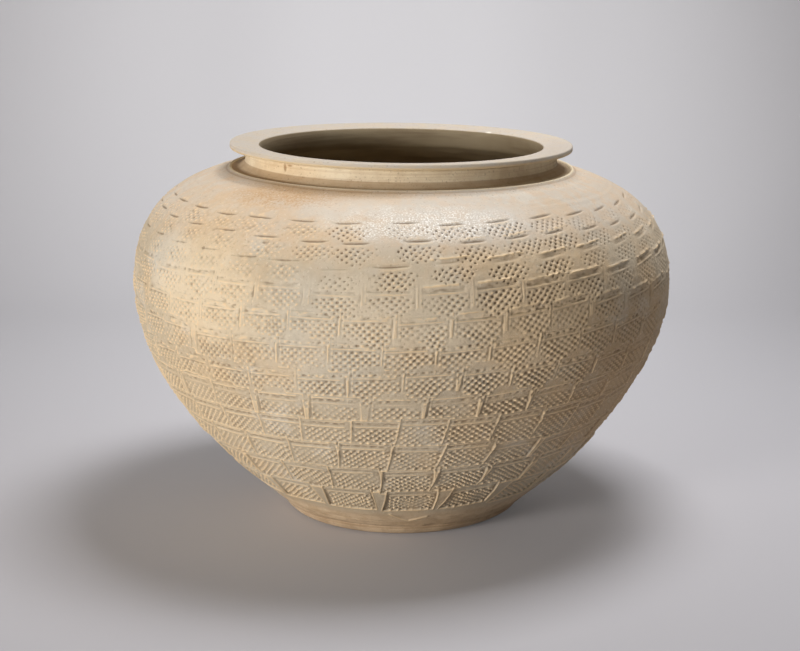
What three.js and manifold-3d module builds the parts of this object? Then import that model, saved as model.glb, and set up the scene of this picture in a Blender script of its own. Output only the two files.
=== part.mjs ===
// Pottery storage jar: a coil-built, paddled body with a turned neck collar and a flanged rim.
// Millimetres, +Z up. The origin is the centre of the flat underside.
// Every piece is a turned ring or disc of clay. Neighbours meet face to face on level seams,
// where the potter scored, wetted and pressed one course of clay onto the next.
// The wall was then beaten with a carved paddle, row by row from the shoulder down. Its flat face
// leaves a facet, and the cross bar at its upper edge cuts a slit into the shoulder.

import * as THREE from 'three';
import { mergeVertices } from 'three/addons/utils/BufferGeometryUtils.js';
import Module from 'manifold-3d';

// Base
const footRadius = 86; // the flat circle that stands on the floor
const footRoundWidth = 14; // how far the foot edge rounds out beyond that circle
const footRoundPull = [0.7, 0.25]; // shares of that width and of the base's thickness that shape it
const baseThickness = 10.2; // clay under the inner floor
const baseUpstand = 8; // the base's turned-up edge, above the inner floor
const floorFillet = 12; // inside round between floor and wall

// Body
const bellyRadius = 215.2;
const bellyHeight = 190.3;
const wallThickness = 8;
const footSlopeDegrees = 42; // how steeply the wall leaves the foot
const shoulderSlopeDegrees = 37.5; // how steeply the shoulder meets the ridge
const footPull = 0.18; // share of the swell that leaves the foot straight
const lowerFullness = 0.472; // share of the lower height that stays near the belly
const upperFullness = 0.88; // share of the upper height that stays near the belly
const shoulderPull = 0.134; // share of the shoulder that arrives straight
const neckBlend = 30; // stretch under the shoulder where the inside turns up into the neck

// Neck collar
const mouthRadius = 113.8;
const neckThickness = 11.2;
const neckBaseEasing = 2.4; // the inside opens by this much towards the collar's foot
const ledgeWidth = 12.4; // hollow ledge between neck and ridge
const ledgeRise = 3.9; // the ledge's climb to the foot of the neck
const ledgeHollow = 0.35; // share of the ledge over which it climbs
const ridgeHeight = 281; // crest of the thin ridge round the shoulder
const ridgeWidth = 1.7;
const ridgeDepth = 0.8; // the ledge's drop behind the crest
const collarSkirt = 4; // the collar reaches this far below the ridge
const neckHeight = 13.4; // from the ridge crest to the seam under the rim
const neckWaist = 0.4; // the neck's slight hollow
const grooveDepth = 1.4; // incised line under the lip
const grooveHeight = 0.9;

// Rim flange
const lipOverhang = 12.1; // beyond the neck
const lipUndercut = 1.5; // the underside's rise from the neck to the lip edge
const lipEasing = 0.4; // part of that rise that comes within the incised line
const lipEdge = 4.4; // thickness of the lip at its edge
const rimTilt = 2; // the lip edge stands this much above the mouth edge
const rimDish = 0.3; // hollow of the rim's top face
const rimRound = 0.9; // rounding of the rim's edges

// Paddle
const paddleWidth = 37; // the paddle's carved face, across
const paddleDrop = 30; // and down
const pressCentre = 11; // the face touches first this far below its upper edge
const paddleDepth = 3; // thickness of the face
const paddleFlare = 3.6; // its worn edges open out by this much over that thickness
const barLine = 2; // the cross bar's distance below the face's upper edge
const barLength = 27; // the slit that the bar leaves has pointed ends
const barWidth = 3.8;
const barDepth = 1.7;
const barSink = 0.5; // the slit is widest this far below the smooth surface
const claySwell = 0.95; // clay that the paddle pushed up stands this much above the smooth wall
const swellStart = [0.06, 0.17]; // the swell sets in between these shares of the wall's climb
const swellEnd = [0.75, 0.87];

// Rows of marks from the shoulder down. climb: the row's upper edge, as a share of the way up the
// wall; marks: how many stand round the jar; turn: the left edge of one of them, in degrees from
// the front; press: how deep the flat face goes in; bar: whether the cross bar cuts a slit.
const markRows = [
  { climb: 0.878, marks: 32, turn: -5.3, press: 0, bar: true },
  { climb: 0.83, marks: 33, turn: -2.3, press: 0, bar: true },
  { climb: 0.779, marks: 33, turn: 4.7, press: 0.5, bar: true },
  { climb: 0.728, marks: 34, turn: 2.7, press: 0.8, bar: true },
  { climb: 0.674, marks: 35, turn: -1.4, press: 1, bar: false },
  { climb: 0.614, marks: 35, turn: -4, press: 1.2, bar: false },
  { climb: 0.55, marks: 34, turn: 0.3, press: 1.3, bar: false },
  { climb: 0.487, marks: 31, turn: 4.4, press: 1.35, bar: false },
  { climb: 0.428, marks: 34, turn: -0.4, press: 1.45, bar: false },
  { climb: 0.351, marks: 29, turn: -2.1, press: 1.6, bar: false },
  { climb: 0.276, marks: 25, turn: -4.3, press: 1.7, bar: false },
  { climb: 0.185, marks: 19, turn: -4.9, press: 1.8, bar: false },
];

// Fineness of the turned faces
const facets = 64; // round the base, the collar and the rim
const wallFacets = 48; // round the beaten wall
const outerSteps = 2; // profile steps on the outside of one course
const innerSteps = 3; // profile steps on the inside of one course
const curveSteps = 120; // steps used while measuring along a long curve
const shortCurveSteps = 24; // and along a short one
const weldLimit = 0.05; // corners nearer than this become one where marks cross

const courseNames = [
  'foot_course',
  'lower_wall_course',
  'rising_wall_course',
  'under_belly_course',
  'belly_course',
  'upper_belly_course',
  'lower_shoulder_course',
  'shoulder_course',
];

// Sizes that follow from the ones above
const footEdgeRadius = footRadius + footRoundWidth;
const neckRadius = mouthRadius + neckThickness;
const ridgeRadius = neckRadius + ledgeWidth;
const rimRadius = neckRadius + lipOverhang;
const baseSeam = baseThickness + baseUpstand;
const collarSeam = ridgeHeight - collarSkirt;
const ledgeHeight = ridgeHeight - ridgeDepth;
const neckFootHeight = ledgeHeight + ledgeRise;
const rimSeam = ridgeHeight + neckHeight;
const rimHeight = rimSeam + lipUndercut + lipEdge;
const mouthHeight = rimHeight - rimTilt;

// Materials
const firedClay = new THREE.MeshStandardMaterial({ color: 0xc2ad8c, roughness: 0.82, metalness: 0 });
const footClay = new THREE.MeshStandardMaterial({ color: 0x9c7a5a, roughness: 0.88, metalness: 0 });
const rimClay = new THREE.MeshStandardMaterial({ color: 0xbfab8b, roughness: 0.75, metalness: 0 });

const point = (radius, height) => new THREE.Vector2(radius, height);

function direction(degrees) {
  const angle = THREE.MathUtils.degToRad(degrees);
  return point(Math.cos(angle), Math.sin(angle));
}

// The outside of the wall, from the foot edge over the belly to the ridge.
function outerWall() {
  const foot = point(footEdgeRadius, baseThickness);
  const belly = point(bellyRadius, bellyHeight);
  const ridge = point(ridgeRadius, ridgeHeight);
  const swell = bellyRadius - footEdgeRadius;
  const leaving = direction(footSlopeDegrees).multiplyScalar(footPull * swell);
  const shoulder = bellyRadius - ridgeRadius;
  const arriving = direction(180 - shoulderSlopeDegrees).multiplyScalar(shoulderPull * shoulder);
  const lower = new THREE.CubicBezierCurve(
    foot,
    foot.clone().add(leaving),
    point(bellyRadius, bellyHeight - lowerFullness * (bellyHeight - baseThickness)),
    belly,
  );
  const upper = new THREE.CubicBezierCurve(
    belly,
    point(bellyRadius, bellyHeight + upperFullness * (ridgeHeight - bellyHeight)),
    ridge.clone().sub(arriving),
    ridge,
  );
  return [...lower.getPoints(curveSteps), ...upper.getPoints(curveSteps).slice(1)];
}

// Unit vector along a line at one of its spots.
function along(line, index) {
  const before = line[Math.max(index - 1, 0)];
  const after = line[Math.min(index + 1, line.length - 1)];
  return after.clone().sub(before).normalize();
}

// The same rising line moved square to itself, inwards for a positive distance.
function moved(line, distanceAt) {
  return line.map((spot, index) => {
    const heading = along(line, index);
    const distance = distanceAt(index);
    return point(spot.x - heading.y * distance, spot.y + heading.x * distance);
  });
}

function lengths(line) {
  const sums = [0];
  for (let index = 1; index < line.length; index += 1) {
    sums.push(sums[index - 1] + line[index].distanceTo(line[index - 1]));
  }
  return sums;
}

// How far the paddled clay stands above the smooth wall, at a share of the wall's climb.
function swellAt(share) {
  const rise = THREE.MathUtils.smoothstep(share, ...swellStart);
  const fall = THREE.MathUtils.smoothstep(share, ...swellEnd);
  return claySwell * (rise - fall);
}

function swollen(line) {
  const sums = lengths(line);
  return moved(line, (index) => -swellAt(sums[index] / sums[sums.length - 1]));
}

// The inside of the jar: floor fillet, wall, and the turn up into the neck.
function innerWall(smoothWall) {
  const shell = moved(smoothWall, () => wallThickness);
  const leaving = along(shell, 0);
  const toFloor = (shell[0].y - baseThickness) / leaving.y;
  const corner = shell[0].clone().sub(leaving.clone().multiplyScalar(toFloor));
  const floorEnd = point(corner.x - floorFillet, baseThickness);
  const wallEnd = corner.clone().add(leaving.multiplyScalar(floorFillet));
  const fillet = new THREE.QuadraticBezierCurve(floorEnd, corner, wallEnd).getPoints(shortCurveSteps);

  const sums = lengths(shell);
  const blendStart = sums[sums.length - 1] - neckBlend;
  const wall = shell.filter((spot, index) => spot.y > wallEnd.y && sums[index] < blendStart);
  const last = wall[wall.length - 1];
  const heading = last.clone().sub(wall[wall.length - 2]).normalize();
  const neckFoot = point(mouthRadius + neckBaseEasing, neckFootHeight);
  const turn = new THREE.CubicBezierCurve(
    last,
    last.clone().add(heading.multiplyScalar((last.x - neckFoot.x) / 2)),
    point(neckFoot.x, (collarSeam + neckFootHeight) / 2),
    neckFoot,
  );
  return [...fillet, ...wall, ...turn.getPoints(shortCurveSteps).slice(1)];
}

// The spot where a rising line crosses a level.
function crossing(line, height) {
  const above = line.findIndex((spot) => spot.y >= height);
  if (above <= 0) {
    return line[above === 0 ? 0 : line.length - 1].clone();
  }
  const low = line[above - 1];
  const high = line[above];
  return low.clone().lerp(high, (height - low.y) / (high.y - low.y));
}

// The stretch of a rising line between two levels, in even steps.
function stretch(line, from, to, steps) {
  const inside = line.filter((spot) => spot.y > from && spot.y < to);
  const path = [crossing(line, from), ...inside, crossing(line, to)];
  const sums = lengths(path);
  const total = sums[sums.length - 1];
  const spots = [];
  for (let step = 0; step <= steps; step += 1) {
    const wanted = (total * step) / steps;
    const index = Math.max(1, sums.findIndex((sum) => sum >= wanted - 1e-9));
    const share = (wanted - sums[index - 1]) / (sums[index] - sums[index - 1]);
    spots.push(path[index - 1].clone().lerp(path[index], share));
  }
  return spots;
}

// The levels of the seams that divide a stretch of the wall into equal courses.
function seamLevels(line, from, to, count) {
  return stretch(line, from, to, count).map((spot) => spot.y);
}

// Turns a section, listed outside first and going up, about the jar's axis.
function lathed(section, around) {
  return new THREE.LatheGeometry(section, around).rotateX(Math.PI / 2);
}

function named(name, geometry, material) {
  const mesh = new THREE.Mesh(geometry, material);
  mesh.name = name;
  return mesh;
}

const closed = (section) => [...section, section[0].clone()];

// A closed geometry as a solid that can be cut.
function solidOf(geometry) {
  const bare = geometry.clone();
  bare.deleteAttribute('normal');
  bare.deleteAttribute('uv');
  const merged = mergeVertices(bare);
  const vertProperties = merged.attributes.position.array;
  const triVerts = Uint32Array.from(merged.index.array);
  const mesh = new wasm.Mesh({ numProp: 3, vertProperties, triVerts, tolerance: weldLimit });
  return new wasm.Manifold(mesh);
}

// The solid as a geometry again, without the faces that closing up its corners leaves empty.
function geometryOf(solid) {
  const { vertProperties, triVerts } = solid.getMesh();
  const whole = new THREE.BufferGeometry();
  whole.setAttribute('position', new THREE.BufferAttribute(vertProperties, 3));
  whole.setIndex(new THREE.BufferAttribute(triVerts, 1));
  const geometry = mergeVertices(whole, weldLimit);
  const corners = geometry.index.array;
  const kept = [];
  for (let start = 0; start < corners.length; start += 3) {
    const face = corners.slice(start, start + 3);
    if (new Set(face).size === 3) {
      kept.push(...face);
    }
  }
  geometry.setIndex(kept);
  geometry.computeVertexNormals();
  return geometry;
}

const wasm = await Module();
wasm.setup();

const smoothWall = outerWall();
const outside = swollen(smoothWall);
const inside = innerWall(smoothWall);

function baseDisc() {
  const rounding = new THREE.QuadraticBezierCurve(
    point(footRadius, 0),
    point(footRadius + footRoundWidth * footRoundPull[0], baseThickness * footRoundPull[1]),
    point(footEdgeRadius, baseThickness),
  ).getPoints(3);
  const edge = stretch(outside, baseThickness, baseSeam, 1).slice(1);
  const upstand = stretch(inside, baseThickness, baseSeam, innerSteps).reverse();
  const section = [point(0, 0), ...rounding, ...edge, ...upstand, point(0, baseThickness)];
  return named('base_disc', lathed(section, facets), footClay);
}

// The spot at a share of the smooth wall's climb, moved outwards, and the wall's slope there.
function onWall(share, outwards) {
  const sums = lengths(smoothWall);
  const wanted = share * sums[sums.length - 1];
  const index = Math.max(1, sums.findIndex((sum) => sum >= wanted));
  const upwards = along(smoothWall, index);
  const spot = smoothWall[index].clone().add(point(upwards.y, -upwards.x).multiplyScalar(outwards));
  return { spot, upwards, wallClimb: sums[sums.length - 1] };
}

// Sets a tool, drawn with +X across, +Y up the wall and +Z outwards, against the wall.
function against(tool, share, outwards, turnDegrees) {
  const { spot, upwards } = onWall(share, outwards);
  const turn = THREE.MathUtils.degToRad(turnDegrees);
  const outwardsHeading = new THREE.Vector3(Math.sin(turn), -Math.cos(turn), 0);
  const axis = new THREE.Vector3(0, 0, 1);
  const across = new THREE.Vector3(Math.cos(turn), Math.sin(turn), 0);
  const up = outwardsHeading.clone().multiplyScalar(upwards.x).addScaledVector(axis, upwards.y);
  const out = outwardsHeading.clone().multiplyScalar(upwards.y).addScaledVector(axis, -upwards.x);
  const place = outwardsHeading.clone().multiplyScalar(spot.x).addScaledVector(axis, spot.y);
  return tool.applyMatrix4(new THREE.Matrix4().makeBasis(across, up, out).setPosition(place));
}

function paddleFace() {
  const face = new THREE.BoxGeometry(paddleWidth, paddleDrop, paddleDepth);
  const corners = face.attributes.position;
  for (let corner = 0; corner < corners.count; corner += 1) {
    if (corners.getZ(corner) > 0) {
      corners.setX(corner, corners.getX(corner) + Math.sign(corners.getX(corner)) * paddleFlare);
      corners.setY(corner, corners.getY(corner) + Math.sign(corners.getY(corner)) * paddleFlare);
    }
  }
  return face.translate(0, pressCentre - paddleDrop / 2, paddleDepth / 2);
}

function crossBar() {
  return new THREE.OctahedronGeometry(1).scale(barLength / 2, barWidth / 2, barDepth);
}

// The wall after one more row of marks.
function beaten(unbeaten, row) {
  const { spot, wallClimb } = onWall(row.climb, 0);
  const halfFace = THREE.MathUtils.radToDeg(paddleWidth / 2 / spot.x);
  const touch = row.climb - pressCentre / wallClimb;
  const barShare = row.climb - barLine / wallClimb;
  const faceHeight = swellAt(touch) - row.press;
  const tools = [];
  for (let mark = 0; mark < row.marks; mark += 1) {
    const turn = row.turn + halfFace + (360 * mark) / row.marks;
    if (row.press > 0) {
      tools.push(against(paddleFace(), touch, faceHeight, turn));
    }
    if (row.bar) {
      const barHeight = Math.min(swellAt(barShare), faceHeight + barDepth / 2) - barSink;
      tools.push(against(crossBar(), barShare, barHeight, turn));
    }
  }
  return unbeaten.subtract(tools.map(solidOf).reduce((joined, tool) => joined.add(tool)));
}

function paddledWall(levels) {
  const inCourses = (line, steps) =>
    levels.slice(1).flatMap((level, index) => {
      const spots = stretch(line, levels[index], level, steps);
      return index === 0 ? spots : spots.slice(1);
    });
  const outer = inCourses(outside, outerSteps);
  const inner = inCourses(inside, innerSteps).reverse();
  const unbeaten = solidOf(lathed(closed([...outer, ...inner]), wallFacets));
  return markRows.reduce(beaten, unbeaten);
}

function wallCourse(name, wall, from, to) {
  const width = 4 * bellyRadius;
  const layer = new THREE.BoxGeometry(width, width, to - from).translate(0, 0, (from + to) / 2);
  return named(name, geometryOf(wall.intersect(solidOf(layer))), firedClay);
}

function neckCollar() {
  const skirt = stretch(outside, collarSeam, ridgeHeight, 2);
  const ledge = new THREE.QuadraticBezierCurve(
    point(ridgeRadius - ridgeWidth, ledgeHeight),
    point(neckRadius + ledgeWidth * ledgeHollow, ledgeHeight),
    point(neckRadius, neckFootHeight),
  ).getPoints(4);
  const neck = [
    point(neckRadius - neckWaist, (neckFootHeight + rimSeam) / 2),
    point(neckRadius, rimSeam - grooveHeight),
    point(neckRadius - grooveDepth, rimSeam),
  ];
  const lining = stretch(inside, collarSeam, neckFootHeight, 2).reverse();
  const section = [...skirt, ...ledge, ...neck, point(mouthRadius, rimSeam), ...lining];
  return named('neck_collar', lathed(closed(section), facets), firedClay);
}

function rimFlange() {
  const section = [
    point(neckRadius - grooveDepth, rimSeam),
    point(neckRadius, rimSeam + lipEasing),
    point(rimRadius - rimRound, rimSeam + lipUndercut),
    point(rimRadius, rimSeam + lipUndercut + rimRound),
    point(rimRadius, rimHeight - rimRound),
    point(rimRadius - rimRound, rimHeight),
    point((rimRadius + mouthRadius) / 2, (rimHeight + mouthHeight) / 2 - rimDish),
    point(mouthRadius + rimRound, mouthHeight),
    point(mouthRadius, mouthHeight - rimRound),
    point(mouthRadius, rimSeam),
  ];
  return named('rim_flange', lathed(closed(section), facets), rimClay);
}

const jar = new THREE.Group();
jar.name = 'pottery_jar';
jar.add(baseDisc());
const levels = seamLevels(outside, baseSeam, collarSeam, courseNames.length);
const wall = paddledWall(levels);
courseNames.forEach((name, index) => {
  jar.add(wallCourse(name, wall, levels[index], levels[index + 1]));
});
jar.add(neckCollar());
jar.add(rimFlange());

export default jar;
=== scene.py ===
import math

import bpy
import numpy as np
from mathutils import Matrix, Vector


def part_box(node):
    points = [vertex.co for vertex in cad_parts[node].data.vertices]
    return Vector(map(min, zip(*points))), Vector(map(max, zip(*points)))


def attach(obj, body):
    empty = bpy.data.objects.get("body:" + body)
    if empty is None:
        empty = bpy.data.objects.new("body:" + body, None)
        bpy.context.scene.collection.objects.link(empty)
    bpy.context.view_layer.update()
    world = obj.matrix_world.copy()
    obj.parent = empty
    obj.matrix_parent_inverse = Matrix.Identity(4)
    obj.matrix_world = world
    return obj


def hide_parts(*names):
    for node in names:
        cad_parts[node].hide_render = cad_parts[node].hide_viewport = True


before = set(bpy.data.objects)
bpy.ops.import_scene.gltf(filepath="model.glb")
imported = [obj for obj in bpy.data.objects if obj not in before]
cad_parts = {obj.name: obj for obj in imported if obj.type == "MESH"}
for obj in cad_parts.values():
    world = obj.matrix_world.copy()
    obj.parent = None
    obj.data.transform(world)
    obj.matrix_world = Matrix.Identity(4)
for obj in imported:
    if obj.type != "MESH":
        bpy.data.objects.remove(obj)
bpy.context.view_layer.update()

# The jar is worked out in millimetres and made in metres, in the frame of the CAD model: +Z is up,
# the origin is the middle of the flat underside, and the camera looks from -Y.
# A place on the wall has two numbers: its turn, in degrees from the front and growing to the
# right, and its climb, in millimetres along the outside of the wall from the foot's edge.
MM = 0.001


# Camera

LENS = 78.75
SENSOR = 36.0
CAMERA_DISTANCE = 1.400
CAMERA_HEIGHT = 0.4711
CAMERA_SIDESTEP = -0.001
CAMERA_DIP_DEGREES = 12.96

bpy.ops.object.camera_add(
    location=(CAMERA_SIDESTEP, -CAMERA_DISTANCE, CAMERA_HEIGHT),
    rotation=(math.radians(90 - CAMERA_DIP_DEGREES), 0, 0),
)
camera = bpy.context.object
camera.name = "studio_camera"
camera.data.lens = LENS
camera.data.sensor_width = SENSOR
bpy.context.scene.camera = camera
bpy.context.scene.view_settings.view_transform = "Standard"


# Section of the wall, in millimetres, as the CAD model has it

FOOT_RADIUS = 86.0
FOOT_ROUND_WIDTH = 14.0
FOOT_CORNER_OUT = 0.7  # what the foot's rounding is drawn towards, as a share of its width
FOOT_CORNER_UP = 0.25  # and as a share of the base's thickness
BASE_THICKNESS = 10.2
FLOOR_FILLET = 12.0
BELLY_RADIUS = 215.2
BELLY_HEIGHT = 190.3
WALL_THICKNESS = 8.0
FOOT_SLOPE_DEGREES = 42.0
SHOULDER_SLOPE_DEGREES = 37.5
FOOT_PULL = 0.18
LOWER_FULLNESS = 0.472
UPPER_FULLNESS = 0.88
SHOULDER_PULL = 0.134
NECK_BLEND = 30.0
MOUTH_RADIUS = 113.8
NECK_THICKNESS = 11.2
NECK_BASE_EASING = 2.4
LEDGE_WIDTH = 12.4
LEDGE_RISE = 3.9
RIDGE_HEIGHT = 281.0
RIDGE_WIDTH = 1.7
RIDGE_DEPTH = 0.8
LIP_OVERHANG = 12.1
LIP_EDGE = 4.4
RIM_TILT = 2.0

NECK_RADIUS = MOUTH_RADIUS + NECK_THICKNESS
RIDGE_RADIUS = NECK_RADIUS + LEDGE_WIDTH
RIM_RADIUS = NECK_RADIUS + LIP_OVERHANG
FOOT_EDGE_RADIUS = FOOT_RADIUS + FOOT_ROUND_WIDTH
NECK_FOOT_HEIGHT = RIDGE_HEIGHT - RIDGE_DEPTH + LEDGE_RISE

COURSES = (
    "foot_course",
    "lower_wall_course",
    "rising_wall_course",
    "under_belly_course",
    "belly_course",
    "upper_belly_course",
    "lower_shoulder_course",
    "shoulder_course",
)


def level_of(node, top):
    """The height of a CAD piece's upper seam, or else of its lower one, in millimetres."""
    low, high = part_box(node)
    return (high.z if top else low.z) / MM


BASE_SEAM = level_of(COURSES[0], top=False)
COLLAR_SEAM = level_of(COURSES[-1], top=True)
RIM_SEAM = level_of("neck_collar", top=True)
RIM_HEIGHT = level_of("rim_flange", top=True)

# Fineness of the modelled surfaces
WALL_COLUMNS = 1620
TURNED_COLUMNS = 540
ROWS_IN_COURSE = 54
ROWS_IN_FOOT = 36
ROWS_IN_SKIRT = 8
INNER_STEPS = 5
INNER_STEPS_IN_BASE = 12
INNER_STEPS_IN_COLLAR = 9
CURVE_STEPS = 400
FILLET_STEPS = 24
NECK_TURN_STEPS = 60
THROAT_STEPS = 8
ROUNDING_STEPS = 5
RIM_ROUNDING_STEPS = 7


def heading(degrees):
    return np.array([math.cos(math.radians(degrees)), math.sin(math.radians(degrees))])


def curve(points, steps=CURVE_STEPS):
    """A Bezier curve through two, three or four control points."""
    share = np.linspace(0, 1, steps + 1)[:, None]
    points = [np.asarray(point, float) for point in points]
    while len(points) > 1:
        points = [a * (1 - share) + b * share for a, b in zip(points, points[1:])]
    return points[0]


def joined(*lines):
    return np.vstack([lines[0]] + [line[1:] for line in lines[1:]])


def lengths(line):
    return np.concatenate([[0.0], np.cumsum(np.hypot(*np.diff(line, axis=0).T))])


def outside_line():
    """The outside of the wall from the standing circle to the ridge, and the climb of each point."""
    foot = np.array([FOOT_EDGE_RADIUS, BASE_THICKNESS])
    belly = np.array([BELLY_RADIUS, BELLY_HEIGHT])
    ridge = np.array([RIDGE_RADIUS, RIDGE_HEIGHT])
    leaving = heading(FOOT_SLOPE_DEGREES) * FOOT_PULL * (BELLY_RADIUS - FOOT_EDGE_RADIUS)
    arriving = heading(180 - SHOULDER_SLOPE_DEGREES) * SHOULDER_PULL * (BELLY_RADIUS - RIDGE_RADIUS)
    lower_pull = (BELLY_RADIUS, BELLY_HEIGHT - LOWER_FULLNESS * (BELLY_HEIGHT - BASE_THICKNESS))
    upper_pull = (BELLY_RADIUS, BELLY_HEIGHT + UPPER_FULLNESS * (RIDGE_HEIGHT - BELLY_HEIGHT))
    corner = (FOOT_RADIUS + FOOT_ROUND_WIDTH * FOOT_CORNER_OUT, BASE_THICKNESS * FOOT_CORNER_UP)
    rounding = curve([(FOOT_RADIUS, 0), corner, foot])
    lower = curve([foot, foot + leaving, lower_pull, belly])
    upper = curve([belly, upper_pull, ridge - arriving, ridge])
    line = joined(rounding, lower, upper)
    climb = lengths(line) - lengths(rounding)[-1]
    return line, climb


def inside_line(outside):
    """The inside of the jar from the floor's edge to the foot of the neck."""
    along = np.gradient(outside, axis=0)
    along /= np.hypot(*along.T)[:, None]
    shell = outside + np.stack([-along[:, 1], along[:, 0]], 1) * WALL_THICKNESS
    start = along[0]
    corner = shell[0] - start * (shell[0][1] - BASE_THICKNESS) / start[1]
    fillet_end = corner + start * FLOOR_FILLET
    fillet = curve([(corner[0] - FLOOR_FILLET, BASE_THICKNESS), corner, fillet_end], FILLET_STEPS)
    climb = lengths(shell)
    wall = shell[(shell[:, 1] > fillet_end[1]) & (climb < climb[-1] - NECK_BLEND)]
    neck_foot = (MOUTH_RADIUS + NECK_BASE_EASING, NECK_FOOT_HEIGHT)
    last = wall[-1]
    heading_in = (last - wall[-2]) / np.hypot(*(last - wall[-2]))
    reach = last + heading_in * (last[0] - neck_foot[0]) / 2
    below_neck = (neck_foot[0], (COLLAR_SEAM + NECK_FOOT_HEIGHT) / 2)
    turn = curve([last, reach, below_neck, neck_foot], NECK_TURN_STEPS)
    return joined(np.vstack([fillet, wall]), turn)


def at_level(line, values, height):
    """The value that belongs to a height on a line that only rises."""
    return float(np.interp(height, line[:, 1], values))


OUTSIDE, OUTSIDE_CLIMB = outside_line()
above_foot = OUTSIDE_CLIMB >= 0
INSIDE = inside_line(OUTSIDE[above_foot])
INSIDE_CLIMB = lengths(INSIDE)

seams = [BASE_SEAM] + [level_of(name, top=True) for name in COURSES]
seam_climbs = [at_level(OUTSIDE, OUTSIDE_CLIMB, level) for level in seams]


def even_rows():
    """The climb of every modelled row of the outside, and the first row of each piece."""
    stops = [OUTSIDE_CLIMB[0]] + seam_climbs + [OUTSIDE_CLIMB[-1]]
    counts = [ROWS_IN_FOOT] + [ROWS_IN_COURSE] * len(COURSES) + [ROWS_IN_SKIRT]
    rows = [np.linspace(a, b, count, endpoint=False) for a, b, count in zip(stops, stops[1:], counts)]
    firsts = np.concatenate([[0], np.cumsum(counts)])
    return np.concatenate(rows + [[stops[-1]]]), firsts


def along_line(line, climbs, wanted):
    """Radius and height at each wanted climb, and the direction square to the line."""
    spots = np.stack([np.interp(wanted, climbs, line[:, axis]) for axis in (0, 1)], 1)
    step = 0.5
    ahead = np.stack([np.interp(wanted + step, climbs, line[:, axis]) for axis in (0, 1)], 1)
    behind = np.stack([np.interp(wanted - step, climbs, line[:, axis]) for axis in (0, 1)], 1)
    along = ahead - behind
    along /= np.hypot(*along.T)[:, None]
    return np.hstack([spots, np.stack([along[:, 1], -along[:, 0]], 1)])


CLIMB, FIRST_ROWS = even_rows()
WALL = along_line(OUTSIDE, OUTSIDE_CLIMB, CLIMB)
RADIUS = WALL[:, 0]
TURN = np.arange(WALL_COLUMNS) * 360 / WALL_COLUMNS
ROW_STEP = float(np.median(np.diff(CLIMB)))


# The paddled pattern, in millimetres on the face of the paddle: across it from its left edge, and
# down it from its upper edge. What is named ACROSS or DOWN is where something begins and ends, and
# how soft its two ends are.

FACE_WIDTH = 38.0
FACE_DROP = 30.0
PRESS_CENTRE = 11.0  # how far down the face touches first
STAMP_REACH = 6.0  # how far from the face a stamp can still move clay
KNOB_ACROSS = 2.95  # between neighbouring columns of knobs
KNOB_DOWN = 5.1  # between knobs of one column
FIELD_ACROSS = (2.0, 36.4, 0.8)
FIELD_TOP = (5.8, 7.0)  # where the knobs begin, and where they are whole
BAR_LINE = 2.5  # the cross bar, which cuts a slit
BAR_END = 3.5  # how far short of the right edge the bar stops
BAR_BODY_ACROSS = (10.0, 25.0, 8.0)
THIN_END = 0.55  # the bar's thickness at its ends, as a share
TROUGH_STOPS = (0.2, 2.2, 3.0, 4.6)  # what a deeply pressed bar cuts
BEAD_ACROSS = (1.6, 33.5, 1.0)
UPPER_BEAD = (0.0, 0.7)  # line and half width
LOWER_BEAD = (5.1, 0.65)
CUTS = ((0.2, 0.7), (6.0, 0.8))  # the thin cuts beside the bar: line and share of their depth
CUT_HALF = 0.6
BITE = (37.2, 0.8)  # line and half width
BITE_DOWN = (0.5, 24.0, 2.5)
EDGE_RIDGE = (0.1, 0.6, 1.0)  # clay squeezed up at the left edge: line, half width, height
BORDER_RIDGES = ((2.2, 0.55, 0.8), (1.15, 0.55, -0.9), (-1.0, 0.6, -0.5))
EDGE_DOWN = (0.0, 23.0, 2.5)
BORDERED_EDGE_DOWN = (-2.5, 16.0, 2.5)
LIP = (-0.8, 0.9)  # line and half width
LIP_ACROSS = (4.0, 32.0, 2.5)
STRIP_DOWN = (1.0, 4.2, 0.4)  # what is left of an older stamp between the thin cuts
STRIP_ACROSS = (2.0, 34.0, 1.5)
STRIP_ROUGHNESS = 0.6
STRIP_LEVEL = 1.5  # the lumpiness that leaves the strip as high as it was
TOUCHING_ACROSS = (-0.8, FACE_WIDTH, 0.8)
TOUCHING_MARGIN = 2.0  # how far above its upper edge the paddle still touches
TOUCHING_SOFT = 0.9
BORDER_ACROSS = (6.0, 24.0, 1.5)
KEPT_DOWN = (0.6, 3.4, 0.5)
FILLED_DOWN = (6.0, 21.0, 2.0)
CLEAR_OF_FACE = 4.0  # how far the paddle stays from the clay beside its face

# How deep the face has to sink for something to begin and to be complete, in millimetres
TOUCHING_DEPTH = (-0.75, -0.15)
LEVELLING_DEPTH = (0.2, 1.1)
ERASING_DEPTH = (1.8, 1.2)

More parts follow.
